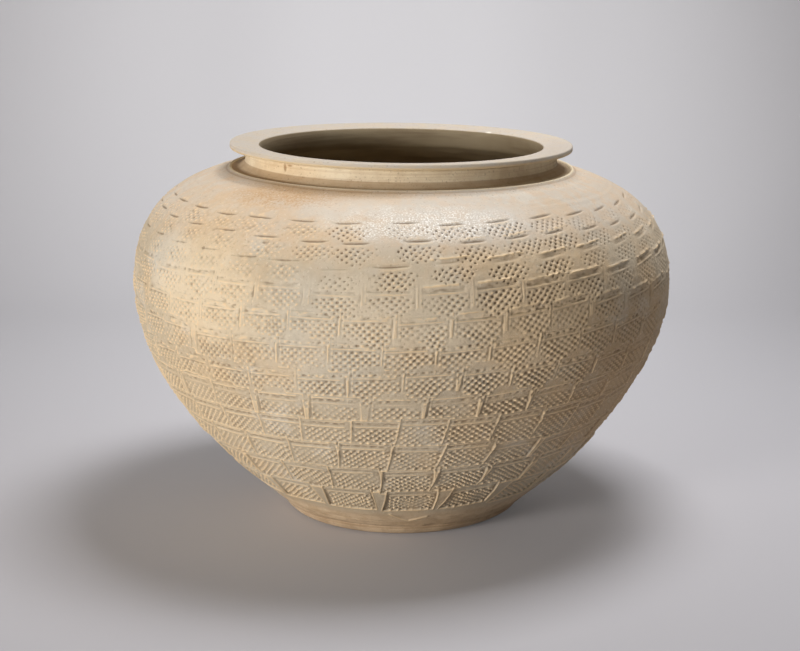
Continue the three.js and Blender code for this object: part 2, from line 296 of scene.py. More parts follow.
# How a stamp comes out where the paddle was pressed lightly, firmly and hard.
# worn: how much of the pits is left where the pattern is worn
# slit, slit_half, fade: how deep and wide the cross bar cuts, and how far its ends fade
# cut, kept: the thin cuts beside the bar, and how much of the older pattern stays between them
# upper_bead, lower_bead, edge, bite: how far the beads and the left edge stand up, and the right
# edge bites in
# knob, knob_edge, pit, pit_edge: the knobs' rise and the pits' depth, and how small each one is
# slope, twist, lean: the turn of the stamp, of its pattern and of its sides, in degrees
# give: how readily the clay takes a flat face; border: the plain part above the bar that touches
LIGHT = dict(
    worn=0.15, slit=1.5, slit_half=1.05, fade=6, cut=0.0, kept=0.0, upper_bead=0.1, lower_bead=0.2,
    edge=0.1, bite=0.0, knob=0.3, knob_edge=0.3, pit=1.3, pit_edge=0.56,
    slope=3.0, twist=6, lean=2, give=0.8, border=0,
)
FIRM = dict(
    worn=0.25, slit=0.9, slit_half=0.6, fade=2.5, cut=0.4, kept=0.85, upper_bead=0.1, lower_bead=0.7,
    edge=0.36, bite=0.6, knob=0.9, knob_edge=0.35, pit=1.0, pit_edge=0.4,
    slope=1.8, twist=4, lean=4, give=2.0, border=8,
)
HARD = dict(
    worn=1.0, slit=0.35, slit_half=1.1, fade=1.2, cut=0.1, kept=0.4, upper_bead=0.9, lower_bead=0.9,
    edge=0.38, bite=0.1, knob=1.15, knob_edge=0.4, pit=0.35, pit_edge=0.2,
    slope=0.8, twist=0, lean=6, give=3.0, border=0,
)
ASHED_GIVE = 1.9  # where the clay gives less than this, the face touches in patches, and ash lies

# Each row of stamps, from the shoulder down: how many go round the jar, how far the face is pressed
# in, how deep its bar, and the climb of the upper edge and the turn of the left edge of each stamp
# that the front shows.
STAMP_ROWS = (
    dict(LIGHT, around=32, press=0.35, deep=0.0,
         tops=(304.5, 306.5, 308, 308, 309.5, 307.5, 309.5, 310.5, 308.5, 308, 307),
         lefts=(-50, -40, -28.6, -17.8, -4.8, 5.7, 17.1, 29.2, 40.4, 51.4, 62.9)),
    dict(LIGHT, around=33, press=0.4, deep=0.2,
         tops=(290.5, 290, 289.5, 289, 292, 290.5, 292.5, 293.5, 292.5),
         lefts=(-46.3, -35.3, -23.8, -14.8, -1.8, 9.7, 20.2, 30.2, 41.2)),
    dict(LIGHT, around=33, press=0.4, deep=1.0, slit=1.0, fade=3,
         tops=(273.5, 272.5, 273, 268.5, 271.5, 274.5, 274.5, 274.5, 276.5),
         lefts=(-48.5, -38.5, -29, -18, -7, 4.5, 16, 26.8, 37.5)),
    dict(FIRM, around=34, press=0.6, deep=1.0, give=1.3, kept=0.6, cut=0.2, edge=0.3, knob=0.4,
         pit=1.1, pit_edge=0.45,
         tops=(257, 255, 256, 252.5, 254, 254.5, 256.5, 256, 257),
         lefts=(-49, -39.7, -29.3, -18, -7.7, 2.7, 13.3, 23.5, 33.5)),
    dict(FIRM, around=35, press=0.8, deep=0.8, give=1.6, knob=0.6, pit=1.0, pit_edge=0.4,
         tops=(236, 236, 236, 235.5, 234, 235, 237, 239, 238),
         lefts=(-42.6, -32.3, -22.1, -11.8, -1.3, 9.2, 19.7, 29, 39.5)),
    dict(FIRM, around=35, press=1.0, deep=0.0,
         tops=(214.5, 215, 214.5, 213.5, 213, 215.5, 217.5, 218),
         lefts=(-35, -24.5, -14, -4, 6.3, 16.6, 26.9, 36.5)),
    dict(FIRM, around=34, press=1.1, deep=0.0, edge=0.38, knob=1.0, pit=0.7,
         tops=(190, 190.5, 190, 192.5, 194.5, 195, 195, 194),
         lefts=(-42, -31.5, -21.2, -10.3, 0.2, 11.4, 21.8, 32)),
    dict(HARD, around=31, press=1.15, deep=0.0, lower_bead=0.5, border=5, kept=0.5,
         tops=(169.5, 170, 170.5, 171, 171.5, 171.5, 171),
         lefts=(-31, -19, -6.5, 5, 16.3, 27.5, 38.5)),
    dict(HARD, around=34, press=1.25, deep=0.0,
         tops=(147.5, 148.5, 148, 149.5, 152.5, 151, 151, 151, 150),
         lefts=(-43, -32.3, -22, -10.5, -0.3, 9.8, 20.8, 32.3, 42)),
    dict(HARD, around=29, press=1.4, deep=0.0,
         tops=(123.5, 124, 125.5, 123.5, 125, 120.5, 120),
         lefts=(-39, -27, -14.3, -2, 10, 22, 35.5)),
    dict(HARD, around=25, press=1.45, deep=0.0,
         tops=(95, 95.5, 95.5, 93.5, 96, 96.5, 96),
         lefts=(-46, -32.5, -19, -5, 9.4, 24, 39)),
    dict(HARD, around=19, press=1.5, deep=0.0, upper_bead=0.6, bite=0.3,
         tops=(65.5, 65.5, 64, 66, 64),
         lefts=(-43.5, -24.5, -5, 14.3, 34)),
)
STAMP_SEED = 11
FIRST_BLOW = -90  # the turn from which each row was stamped, to the right
ROW_WANDER = 2.0  # how far the back of a row wanders up or down
TOP_SCATTER = 0.8
LEFT_SCATTER = 0.5
SLOPE_SCATTER = 0.8
PRESS_SCATTER = 0.08
BORDER_SCATTER = 1.4

# How the pattern changes round the jar. Four turns are where a change begins, is whole, ebbs and ends.
DEEP_TURNS = (-2, 16, 95, 130)
SHALLOWER = 0.4
DEEP_LIP = 0.9
FRESH_TURNS = (-25, -9, 75, 110)  # outside these the upper pattern is worn nearly flush
FRESH_CLIMBS = (185, 230)  # below these every stamp is fresh
WORN_SLIT = 0.9
WORN_KNOB = 1.5
FILLED_KNOB = 0.3  # what still stands of the knobs where ash has filled the pits
FAINT_TURNS = (-180, -170, 30, 60)  # past these the lower pattern is shallower
FAINT_KNOB = 0.5
LEANING_TURNS = (0, 40, 110, 150)
MORE_LEAN = 7.0
RISING_TURNS = (0, 30, 110, 150)  # round the right side the paddle was tipped as it rose
RISING_SLOPE = 3.0

# Chance unevenness: its seed, its size across and along, and its amount, in millimetres
STRENGTHS = (51, 5.0, 5.0, 0.28)
LEAST_STRENGTH, MOST_STRENGTH = 0.4, 1.5
STRAY_KNOBS = (52, 2.6, 2.6, 0.42)
LUMPS = (53, 1.4, 0.9, 0.45)
WHEEL_LINES = (21, 45, 1.3, 0.07)
FOOT_WIPES = (22, 14, 2.6, 0.16)
ASH_CRUST = (34, 1.1, 1.1, 0.13)
SWELLS = (31, 28, 24, 0.42)
DENTS = (32, 9, 9, 0.10)
COARSE_CLAY = (33, 1.5, 1.5, 0.07)


def ramp(value, low, high):
    """0 below low, 1 above high and a smooth climb between."""
    share = np.clip((value - low) / (high - low), 0, 1)
    return share * share * (3 - 2 * share)


def eased(start, share):
    """From start, where the share is 0, to 1, where it is 1."""
    return start + (1 - start) * share


def window(value, low, high, soft):
    return ramp(value, low - soft, low + soft) * (1 - ramp(value, high - soft, high + soft))


def mound(value, half_width):
    return np.exp(-((value / half_width) ** 2))


def between(value, stops):
    """A plateau of 1 between the middle two of four stops, falling to 0 at the outer two."""
    return ramp(value, stops[0], stops[1]) * (1 - ramp(value, stops[2], stops[3]))


def wrapped(degrees):
    return (degrees + 180) % 360 - 180


SMOOTHING_ROWS = 25
FLATTEST_RADIUS = 900
FAR_AWAY = 1e9


def curvature_radii():
    """How round the wall is at each row: the radius across, and the radius up and down."""
    lean = np.unwrap(np.arctan2(WALL[:, 3], WALL[:, 2]))
    bend = np.pad(np.abs(np.gradient(lean, CLIMB)), SMOOTHING_ROWS // 2, mode="edge")
    smooth = np.convolve(bend, np.full(SMOOTHING_ROWS, 1 / SMOOTHING_ROWS), mode="valid")
    return RADIUS / WALL[:, 2], 1 / np.maximum(smooth, 1 / FLATTEST_RADIUS)


ACROSS_RADIUS, DOWN_RADIUS = curvature_radii()


def row_of(climb):
    return int(np.searchsorted(CLIMB, climb))


def whole_row(row, dice):
    """Left edge and upper edge of each stamp in a row, the measured front ones and the rest."""
    stamps = list(zip(row["lefts"], row["tops"]))
    missing = row["around"] - len(stamps)
    first, last = stamps[0], stamps[-1]
    pitch = (first[0] + 360 - last[0]) / (missing + 1)
    drift = dice.uniform(-ROW_WANDER, ROW_WANDER)
    for count in range(1, missing + 1):
        share = count / (missing + 1)
        top = last[1] * (1 - share) + first[1] * share + drift * math.sin(math.tau * share)
        left = last[0] + pitch * count + dice.normal(0, LEFT_SCATTER)
        stamps.append((left, top + dice.normal(0, TOP_SCATTER)))
    return sorted(stamps, key=lambda stamp: (stamp[0] - FIRST_BLOW) % 360)


def domed(wave, edge):
    """Round tops on the crests of a wave, steep at their rims."""
    share = np.clip((wave - edge) / (1 - edge), 0, 1)
    return 1 - (1 - share) ** 2


def paddle_face(across, down, row, deep, fresh, strength, stray):
    """What the carved face leaves in the clay from the face's own plane, and where its knobs stand."""
    twist = math.radians(row["twist"])
    along = across * math.cos(twist) - (down - PRESS_CENTRE) * math.sin(twist) + stray
    below = (down - PRESS_CENTRE) * math.cos(twist) + across * math.sin(twist)
    rising = np.cos(math.pi * (along / KNOB_ACROSS + 2 * below / KNOB_DOWN))
    falling = np.cos(math.pi * (along / KNOB_ACROSS - 2 * below / KNOB_DOWN))
    wave = (rising + falling) / 2
    field = window(across, *FIELD_ACROSS) * ramp(down, *FIELD_TOP)
    tips = domed(wave, row["knob_edge"])
    knobs = row["knob"] * eased(WORN_KNOB, fresh) * tips
    pits = row["pit"] * eased(row["worn"], fresh) * domed(-wave, row["pit_edge"])
    face = (knobs - pits) * field * strength

    thickness = eased(THIN_END, window(across, *BAR_BODY_ACROSS))
    slit = mound((down - BAR_LINE) / thickness, row["slit_half"])
    slit += deep * (between(down, TROUGH_STOPS) - slit)
    fade = row["fade"] + deep
    slit *= window(across, fade, FACE_WIDTH - BAR_END - fade, fade)
    face -= row["slit"] * eased(WORN_SLIT, fresh) * (1 - SHALLOWER * deep) * slit

    beads = window(across, *BEAD_ACROSS)
    for line, share in CUTS:
        face -= row["cut"] * share * mound(down - line, CUT_HALF) * beads
    face += row["upper_bead"] * mound(down - UPPER_BEAD[0], UPPER_BEAD[1]) * beads
    face += row["lower_bead"] * mound(down - LOWER_BEAD[0] + row["cut"], LOWER_BEAD[1]) * beads
    face -= row["bite"] * mound(across - BITE[0], BITE[1]) * window(down, *BITE_DOWN)
    return face, tips * field * strength


def squeezed_up(across, down, row, deep, lumps):
    """The clay that rises round the face: fine ridges on its left, and a lip over a deep bar."""
    bordered = row["border"] > 0
    lines = (EDGE_RIDGE, *BORDER_RIDGES) if bordered else (EDGE_RIDGE,)
    ridges = sum(height * mound(across - line, half) for line, half, height in lines)
    sides = window(down, *(BORDERED_EDGE_DOWN if bordered else EDGE_DOWN))
    lip = mound(down - LIP[0], LIP[1]) * window(across, *LIP_ACROSS)
    strip = STRIP_ROUGHNESS * row["kept"] * window(down, *STRIP_DOWN) * window(across, *STRIP_ACROSS)
    return row["edge"] * ridges * sides + DEEP_LIP * deep * lip * lumps + strip * (lumps - STRIP_LEVEL)


def press_stamp(sheet, left_edge, top, row, slope, press, border, strengths, stray, lumps):
    """Presses one stamp into the sheet of heights, over what is already there."""
    radius = float(np.interp(top, CLIMB, RADIUS))
    middle = left_edge + math.degrees(FACE_WIDTH / 2 / radius)
    rows = np.arange(max(row_of(top - FACE_DROP - STAMP_REACH), 0), row_of(top + STAMP_REACH))
    half = math.degrees((FACE_WIDTH / 2 + STAMP_REACH) / RADIUS[rows].min())
    first = math.floor((middle - half) / 360 * WALL_COLUMNS)
    last = math.ceil((middle + half) / 360 * WALL_COLUMNS)
    turns = np.arange(first, last + 1)
    patch = np.ix_(rows, turns % WALL_COLUMNS)
    turn = wrapped(middle)

    flat = np.radians(turns * 360 / WALL_COLUMNS - middle)[None, :] * RADIUS[rows][:, None]
    drop = top - CLIMB[rows][:, None]
    tip = math.radians(slope + RISING_SLOPE * float(between(turn, RISING_TURNS)))
    across = flat * math.cos(tip) - drop * math.sin(tip)
    down = drop * math.cos(tip) + flat * math.sin(tip)
    here = row_of(top - PRESS_CENTRE)
    sag = across ** 2 / (2 * ACROSS_RADIUS[here]) + (down - PRESS_CENTRE) ** 2 / (2 * DOWN_RADIUS[here])
    depth = press - sag / row["give"]

    ashed = row["give"] < ASHED_GIVE
    deep = row["deep"] * float(between(turn, DEEP_TURNS))
    fresh = max(float(between(turn, FRESH_TURNS)), float(1 - ramp(top, *FRESH_CLIMBS)))
    clear = float(between(turn, FAINT_TURNS))
    touching = ramp(depth, *TOUCHING_DEPTH) if ashed else 1
    strength = eased(FAINT_KNOB, clear) * strengths[patch] * touching
    lean = math.tan(math.radians(row["lean"] + MORE_LEAN * float(between(turn, LEANING_TURNS))))
    leaning = across + FACE_WIDTH / 2 + lean * (down - PRESS_CENTRE)
    upright = stray[patch] - lean * (down - PRESS_CENTRE)
    face, tips = paddle_face(leaning, down, row, deep, fresh, strength, upright)

    upper_edge = -TOUCHING_MARGIN - border * window(leaning, *BORDER_ACROSS)
    on_face = window(leaning, *TOUCHING_ACROSS) * window(down, upper_edge, FACE_DROP, TOUCHING_SOFT)
    stamped = face - depth + CLEAR_OF_FACE * (1 - on_face)
    old = sheet[patch]
    kept = row["kept"] * window(down, *KEPT_DOWN)
    pushed = 1 - kept * ramp(depth, *ERASING_DEPTH)
    filled = ramp(depth, *LEVELLING_DEPTH) * on_face * (1 - kept)
    sheet[patch] = old + np.where(stamped < old, pushed, filled) * (stamped - old)
    sheet[patch] += squeezed_up(leaning, down, row, deep, lumps[patch])
    if ashed:
        sheet[patch] += FILLED_KNOB * (1 - fresh) * tips * window(down, *FILLED_DOWN)


MEAN_RADIUS = 190


def softened(sheet, around, along):
    """The sheet with detail smaller than these lengths, in millimetres, taken out."""
    turns = np.fft.fftfreq(sheet.shape[1], d=math.tau * MEAN_RADIUS / sheet.shape[1])
    climbs = np.fft.fftfreq(sheet.shape[0], d=ROW_STEP)
    keep_around = np.exp(-2 * (math.pi * turns[None, :] * around) ** 2)
    keep_along = np.exp(-2 * (math.pi * climbs[:, None] * along) ** 2)
    return np.real(np.fft.ifft2(np.fft.fft2(sheet) * keep_around * keep_along))


def unevenness(seed, around, along, amount):
    """Smooth chance unevenness of about this size, in millimetres."""
    dice = np.random.default_rng(seed)
    rough = softened(dice.normal(size=(len(CLIMB), WALL_COLUMNS)), around, along)
    return rough * amount / rough.std()


def stamped_sheet():
    """The whole wall's relief after the last stamp, in millimetres, one row per climb."""
    dice = np.random.default_rng(STAMP_SEED)
    sheet = np.zeros((len(CLIMB), WALL_COLUMNS))
    strengths = np.clip(1 + unevenness(*STRENGTHS), LEAST_STRENGTH, MOST_STRENGTH)
    stray = unevenness(*STRAY_KNOBS)
    lumps = np.clip(1 + unevenness(*LUMPS), 0, 2)
    for row in STAMP_ROWS:
        for left_edge, top in whole_row(row, dice):
            slope = row["slope"] + dice.normal(0, SLOPE_SCATTER)
            press = row["press"] + dice.normal(0, PRESS_SCATTER)
            border = row["border"] * dice.uniform(0.0, BORDER_SCATTER)
            press_stamp(sheet, left_edge, top, row, slope, press, border, strengths, stray, lumps)
    return sheet


def spot(turn, climb, across, along):
    """1 at a place on the wall and nothing a few of these lengths away."""
    aside = np.radians(wrapped(TURN - turn))[None, :] * RADIUS[:, None]
    return mound(aside, across) * mound(CLIMB[:, None] - climb, along)


def bead_along(sheet, places, half_width, height):
    """A thin bead of dragged clay that joins some places on the wall."""
    nearest = np.full(sheet.shape, FAR_AWAY)
    for (turn_a, climb_a), (turn_b, climb_b) in zip(places, places[1:]):
        radius = np.interp((climb_a + climb_b) / 2, CLIMB, RADIUS)
        aside = np.radians(wrapped(TURN - turn_a))[None, :] * radius
        rise = CLIMB[:, None] - climb_a
        run = np.array([math.radians(turn_b - turn_a) * radius, climb_b - climb_a])
        share = np.clip((aside * run[0] + rise * run[1]) / (run @ run), 0, 1)
        nearest = np.minimum(nearest, np.hypot(aside - share * run[0], rise - share * run[1]))
    sheet += height * mound(nearest, half_width)


# Patches that a hand rubbed smooth: turn, climb, reach across and along, and how smooth
RUBBED_PATCHES = (
    (3.0, 163, 7, 4, 0.85),
    (-15.5, 202, 6, 8, 0.8),
    (-13, 262, 8, 7, 0.6),
    (-30, 262, 12, 9, 0.2),
    (-7.5, 160, 7, 6, 0.8),
    (13, 159, 7, 6, 0.7),
    (26.5, 203, 10, 5, 0.75),
    (17, 196, 8, 4, 0.6),
    (10.5, 216, 12, 3, 0.7),
)
RUBBED_BLUR = 3.0
# Holes in the clay: turn, climb and size
PITS = ((-29.8, 281.5, 1.4), (-44.8, 271.0, 1.3), (-48.7, 253.4, 1.3), (-68.8, 241.7, 1.6))
PIT_DEPTH = 1.1
CRUST_TURNS = (-120, -80, -30, -8)  # a grainy crust of ash
CRUST_CLIMBS = (170, 325, 25)
# The right side lies in shade, so its raised edges get less painted highlight and less pale worn look
SHADED_SIDE_TURNS = (35, 58, 110, 150)  # the right side has less pale wear on its edges
LESS_EDGE_LIGHT = 0.5
SWOLLEN_CLIMBS = (22, 60, 262, 305)
SWELLING = 1.05  # what brings the beaten wall back to the CAD wall's size
PADDLED_CLIMBS = (30, 38, 305, 318)
FOOT_WIPED_CLIMBS = (24, 40)
STILL_CLIMBS = (-15, -2)  # the foot's rounding keeps its shape up to here
RIDGE_GROOVE = (343.5, 3.6, 0.7)  # climb, half width and depth
HOLLOW_BLUR = 2.4
FULL_HOLLOW = 0.7  # the depth that counts as 1 in a hollow
HOLLOW_LIMITS = (-1, 1.5)  # below 0 a place stands out from what is round it
# Slip dragged over the foot: the turn and climb of each bend, then half width and height
FOOT_DRAG = ((-4.6, 27.5), (-1.5, 20.5), (2.2, 14.5), (7.0, 20.0), (9.0, 21.5))
FOOT_DRAG_SIZE = (1.3, 0.9)
FOOT_DRAG_BELOW = ((-1.0, 8.0), (4.3, 3.4), (9.3, 2.6))
FOOT_DRAG_BELOW_SIZE = (1.2, 0.7)


def wall_relief():
    """Every hand mark on the outside of the jar, and how hollow each place is."""
    sheet = stamped_sheet()
    calm = softened(sheet, RUBBED_BLUR, RUBBED_BLUR)
    for turn, climb, across, along, smoothness in RUBBED_PATCHES:
        sheet += smoothness * spot(turn, climb, across, along) * (calm - sheet)
    swollen = between(CLIMB, SWOLLEN_CLIMBS)[:, None]
    sheet += SWELLING * swollen
    for turn, climb, size in PITS:
        sheet -= PIT_DEPTH * spot(turn, climb, size, size)
    sheet += (1 - between(CLIMB, PADDLED_CLIMBS))[:, None] * unevenness(*WHEEL_LINES)
    sheet += (1 - ramp(CLIMB, *FOOT_WIPED_CLIMBS))[:, None] * unevenness(*FOOT_WIPES)
    bead_along(sheet, FOOT_DRAG, *FOOT_DRAG_SIZE)
    bead_along(sheet, FOOT_DRAG_BELOW, *FOOT_DRAG_BELOW_SIZE)
    groove_climb, groove_half, groove_depth = RIDGE_GROOVE
    sheet -= (groove_depth * mound(CLIMB - groove_climb, groove_half))[:, None]
    crusted = window(CLIMB, *CRUST_CLIMBS)[:, None] * between(wrapped(TURN), CRUST_TURNS)[None, :]
    sheet += crusted * unevenness(*ASH_CRUST)
    hollow = (softened(sheet, HOLLOW_BLUR, HOLLOW_BLUR) - sheet) / FULL_HOLLOW
    # On the shaded right side the painted highlight and pale worn look of raised places is weaker
    shaded_side = between(wrapped(TURN), SHADED_SIDE_TURNS)[None, :]
    hollow = np.where(hollow < 0, hollow * (1 - LESS_EDGE_LIGHT * shaded_side), hollow)
    sheet += unevenness(*SWELLS)
    sheet += unevenness(*DENTS)
    sheet += swollen * unevenness(*COARSE_CLAY)
    settled = ramp(CLIMB, *STILL_CLIMBS)[:, None]
    return sheet * settled, np.clip(hollow, *HOLLOW_LIMITS)


WALL_HEIGHTS, WALL_HOLLOWS = wall_relief()


# Wiping marks on the inside: waves round the jar, waves per millimetre of climb, and their height
WIPE_SEED = 41
WIPES = 26
WIPE_WAVES = (3, 34)
WIPE_RISES = (0.03, 0.16)
WIPE_HEIGHT = 0.16
BAND_RISE = 0.42
BAND_WANDER = 0.8
BAND_WANDER_RISE = 0.11
BAND_HEIGHT = 0.25


def inside_heights(turns, climbs):
    """Wiping bands and soft anvil hollows on the inside of the wall."""
    dice = np.random.default_rng(WIPE_SEED)
    total = np.zeros((len(climbs), len(turns)))
    for _ in range(WIPES):
        around = dice.integers(*WIPE_WAVES)
        rise = dice.uniform(*WIPE_RISES)
        lag_around = dice.uniform(0, math.tau)
        lag_up = dice.uniform(0, math.tau)
        waves = np.cos(np.radians(turns) * around + lag_around)[None, :]
        total += waves * np.cos(climbs * rise + lag_up)[:, None]
    bands = np.cos(climbs * BAND_RISE + BAND_WANDER * np.cos(climbs * BAND_WANDER_RISE))[:, None]
    return WIPE_HEIGHT * total + BAND_HEIGHT * bands


# Shapes

# How far the jar leans to the right at each height
LEAN_LEVELS = (0, 30, 45, 70, 80, 100, 140, 180, 200, 245, 268, 281, 300)
LEAN_SHIFTS = (0.6, 1.4, 1.8, 0.7, -0.3, 0.0, 0.1, 1.0, 0.7, 0.0, -0.9, 0.0, 0.0)
LEAN_HEIGHTS = (0, 12)  # where the lean begins, and where it is whole
OVAL_WAVES = ((2, 1.4, 0.7), (3, 0.3, 0.35))  # waves round the jar, their start, their height
OVAL_HEIGHTS = (2, 60)
RIM_DROP_TO_RIGHT = 0.0125
RIM_DROP_HEIGHTS = (205, 285)


def by_hand(spots):
    """The jar's unevenness as a whole: its lean, its oval turns and its sloping rim."""
    x, y, z = spots.T / MM
    turn = np.arctan2(x, -y)
    away = np.hypot(x, y)
    oval = sum(height * np.cos(waves * turn + start) for waves, start, height in OVAL_WAVES)
    swell = 1 + ramp(z, *OVAL_HEIGHTS) * oval * (away / BELLY_RADIUS) / np.maximum(away, 1)
    lean = np.interp(z, LEAN_LEVELS, LEAN_SHIFTS) * ramp(z, *LEAN_HEIGHTS)
    drop = x * RIM_DROP_TO_RIGHT * ramp(z, *RIM_DROP_HEIGHTS)
    return np.stack([x * swell + lean, y * swell, z - drop], 1) * MM


def deselect_everything():
    if bpy.context.object and bpy.context.object.mode != "OBJECT":
        bpy.ops.object.mode_set(mode="OBJECT")
    bpy.ops.object.select_all(action="DESELECT")


SAME_POINT = 1e-6  # metres
SAME_SEAM = 1e-5
START_SIZE = 0.01


def drawn_section(name, section, closed):
    """One point, drawn out by extrusion along a section given as radius and height."""
    deselect_everything()
    bpy.ops.mesh.primitive_plane_add(size=START_SIZE)
    piece = bpy.context.object
    piece.name = name
    piece.data.name = name
    bpy.ops.object.mode_set(mode="EDIT")
    bpy.ops.mesh.merge(type="CENTER")
    places = np.stack([np.zeros(len(section)), -section[:, 0], section[:, 1]], 1) * MM
    bpy.ops.transform.translate(value=places[0])
    stops = np.vstack([places, places[:1]]) if closed else places
    for move in np.diff(stops, axis=0):
        bpy.ops.mesh.extrude_region_move(TRANSFORM_OT_translate={"value": move})
    bpy.ops.mesh.select_all(action="SELECT")
    bpy.ops.mesh.remove_doubles(threshold=SAME_POINT)
    bpy.ops.object.mode_set(mode="OBJECT")
    return piece


def turned(piece, columns):
    """The drawn section turned round the jar's axis and closed on itself."""
    modifier = piece.modifiers.new("turning", "SCREW")
    modifier.steps = modifier.render_steps = columns
    modifier.angle = math.tau
    modifier.use_merge_vertices = True
    modifier.merge_threshold = SAME_POINT
    modifier.use_smooth_shade = True
    bpy.ops.object.modifier_apply(modifier="turning")
    bpy.ops.object.mode_set(mode="EDIT")
    bpy.ops.mesh.select_all(action="SELECT")
    bpy.ops.mesh.remove_doubles(threshold=SAME_SEAM)
    bpy.ops.mesh.normals_make_consistent(inside=False)
    bpy.ops.object.mode_set(mode="OBJECT")


def mesh_spots(mesh):
    flat = np.zeros(len(mesh.vertices) * 3, np.float32)
    mesh.vertices.foreach_get("co", flat)
    return flat.reshape(-1, 3).astype(float)


def nearest_in_section(spots, section):
    """For each vertex the section point that it was turned from."""
    radius = np.hypot(spots[:, 0], spots[:, 1]) / MM
    height = spots[:, 2] / MM
    index = np.zeros(len(spots), int)
    best = np.full(len(spots), FAR_AWAY)
    for number, (point_radius, point_height) in enumerate(section[:, :2]):
        away = np.abs(radius - point_radius) + np.abs(height - point_height)
        closer = away < best
        best[closer] = away[closer]
        index[closer] = number
    return index


def mark_corners_sharp(piece, index, corners):
    """The edges that run round the jar at these section points stay sharp."""
    mesh = piece.data
    ends = np.zeros(len(mesh.edges) * 2, np.int32)
    mesh.edges.foreach_get("vertices", ends)
    pairs = index[ends.reshape(-1, 2)]
    chosen = (pairs[:, 0] == pairs[:, 1]) & np.isin(pairs[:, 0], corners)
    mesh.vertices.foreach_set("select", np.zeros(len(mesh.vertices), bool))
    mesh.polygons.foreach_set("select", np.zeros(len(mesh.polygons), bool))
    mesh.edges.foreach_set("select", chosen)
    bpy.ops.object.mode_set(mode="EDIT")
    bpy.context.tool_settings.mesh_select_mode = (False, True, False)
    bpy.ops.mesh.mark_sharp()
    bpy.context.tool_settings.mesh_select_mode = (True, False, False)
    bpy.ops.object.mode_set(mode="OBJECT")


def stored(mesh, name, values):
    attribute = mesh.attributes.new(name, "FLOAT", "POINT")
    attribute.data.foreach_set("value", values.astype(np.float32))


def shaped(piece, section, heights, hollows, inside, corners, shoulder=None):
    """Moves each vertex out or in by its height, then gives the jar's own unevenness."""
    mesh = piece.data
    spots = mesh_spots(mesh)
    index = nearest_in_section(spots, section)
    mark_corners_sharp(piece, index, corners)
    columns = heights.shape[1]
    turn = np.arctan2(spots[:, 0], -spots[:, 1])
    column = np.round(turn / math.tau * columns).astype(int) % columns
    out = heights[index, column]
    radius = section[index, 0] + section[index, 2] * out
    height = section[index, 1] + section[index, 3] * out
    turn = column * math.tau / columns
    radius = np.where(section[index, 0] < SAME_POINT, 0, radius)
    moved = np.stack([radius * np.sin(turn), -radius * np.cos(turn), height], 1) * MM
    mesh.vertices.foreach_set("co", by_hand(moved).astype(np.float32).ravel())
    stored(mesh, "hollow", hollows[index, column])
    stored(mesh, "inside", inside[index])
    if shoulder is not None:
        stored(mesh, "shoulder", shoulder[index])
    mesh.update()


def finished(piece, node, material):
    piece.data.materials.clear()
    piece.data.materials.append(material)
    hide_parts(node)
    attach(piece, "root")


def lining(climbs):
    """The inside at these climbs. Its heights go into the jar."""
    line = along_line(INSIDE, INSIDE_CLIMB, climbs)
    line[:, 2:] *= -1
    return line


def wall_course(number, material):
    """One course of the body: its paddled outside, its wiped inside and its two seam faces."""
    name = COURSES[number]
    rows = np.arange(FIRST_ROWS[number + 1], FIRST_ROWS[number + 2] + 1)
    outer = WALL[rows]
    levels = (seams[number + 1], seams[number])
    ends = [at_level(INSIDE, INSIDE_CLIMB, level) for level in levels]
    inner_climbs = np.linspace(*ends, INNER_STEPS + 1)
    inner = lining(inner_climbs)
    section = np.vstack([outer, inner])
    heights = np.vstack([WALL_HEIGHTS[rows], inside_heights(TURN, inner_climbs)])
    hollows = np.vstack([WALL_HOLLOWS[rows], np.zeros((len(inner), WALL_COLUMNS))])
    corners = (0, len(rows) - 1, len(rows), len(section) - 1)
    piece = drawn_section("paddled_" + name, section, closed=True)
    turned(piece, WALL_COLUMNS)
    inside = (np.arange(len(section)) >= len(rows)).astype(float)
    shaped(piece, section, heights, hollows, inside, corners)
    finished(piece, name, material)


def plain(line):
    """A line whose points stay where they are."""
    line = np.asarray(line, float)
    return np.hstack([line, np.zeros_like(line)])


EACH_TURNED_COLUMN = slice(None, None, WALL_COLUMNS // TURNED_COLUMNS)
UNDERSIDE_RADII = (0, 25, 50, 68, 79)
FLOOR_SHARES = (0.85, 0.68, 0.5, 0.34, 0.17, 0)
FLOOR_WAVE_LENGTH = 40
FLOOR_WAVES = 0.9  # the wiping marks on the floor's edge, as a share of the wall's


def base(material):
    """The base: its standing face, its rounded foot, its turned-up edge and the jar's floor."""
    rows = np.arange(FIRST_ROWS[0], FIRST_ROWS[1] + 1)
    seam_climb = at_level(INSIDE, INSIDE_CLIMB, BASE_SEAM)
    inner_climbs = np.linspace(seam_climb, 0.0, INNER_STEPS_IN_BASE)
    inner = lining(inner_climbs)
    underside = plain([(radius, 0) for radius in UNDERSIDE_RADII])
    floor_edge = inner[-1, 0]
    floor = plain([(floor_edge * share, BASE_THICKNESS) for share in FLOOR_SHARES])
    floor[:, 3] = 1
    section = np.vstack([underside, WALL[rows], inner, floor])
    turns = TURN[EACH_TURNED_COLUMN]
    foot = WALL_HEIGHTS[rows][:, EACH_TURNED_COLUMN]
    floor_climbs = -np.linspace(0, FLOOR_WAVE_LENGTH, len(floor))
    calmed = np.linspace(FLOOR_WAVES, 0, len(floor))[:, None]
    floor_heights = inside_heights(turns, floor_climbs) * calmed
    still = np.zeros((len(underside), TURNED_COLUMNS))
    heights = np.vstack([still, foot, inside_heights(turns, inner_climbs), floor_heights])
    corner = len(underside) + len(rows) - 1
    piece = drawn_section("foot_and_floor", section, closed=False)
    turned(piece, TURNED_COLUMNS)
    inside = (np.arange(len(section)) > corner).astype(float)
    shaped(piece, section, heights, np.zeros_like(heights), inside, (corner, corner + 1))
    finished(piece, "base_disc", material)


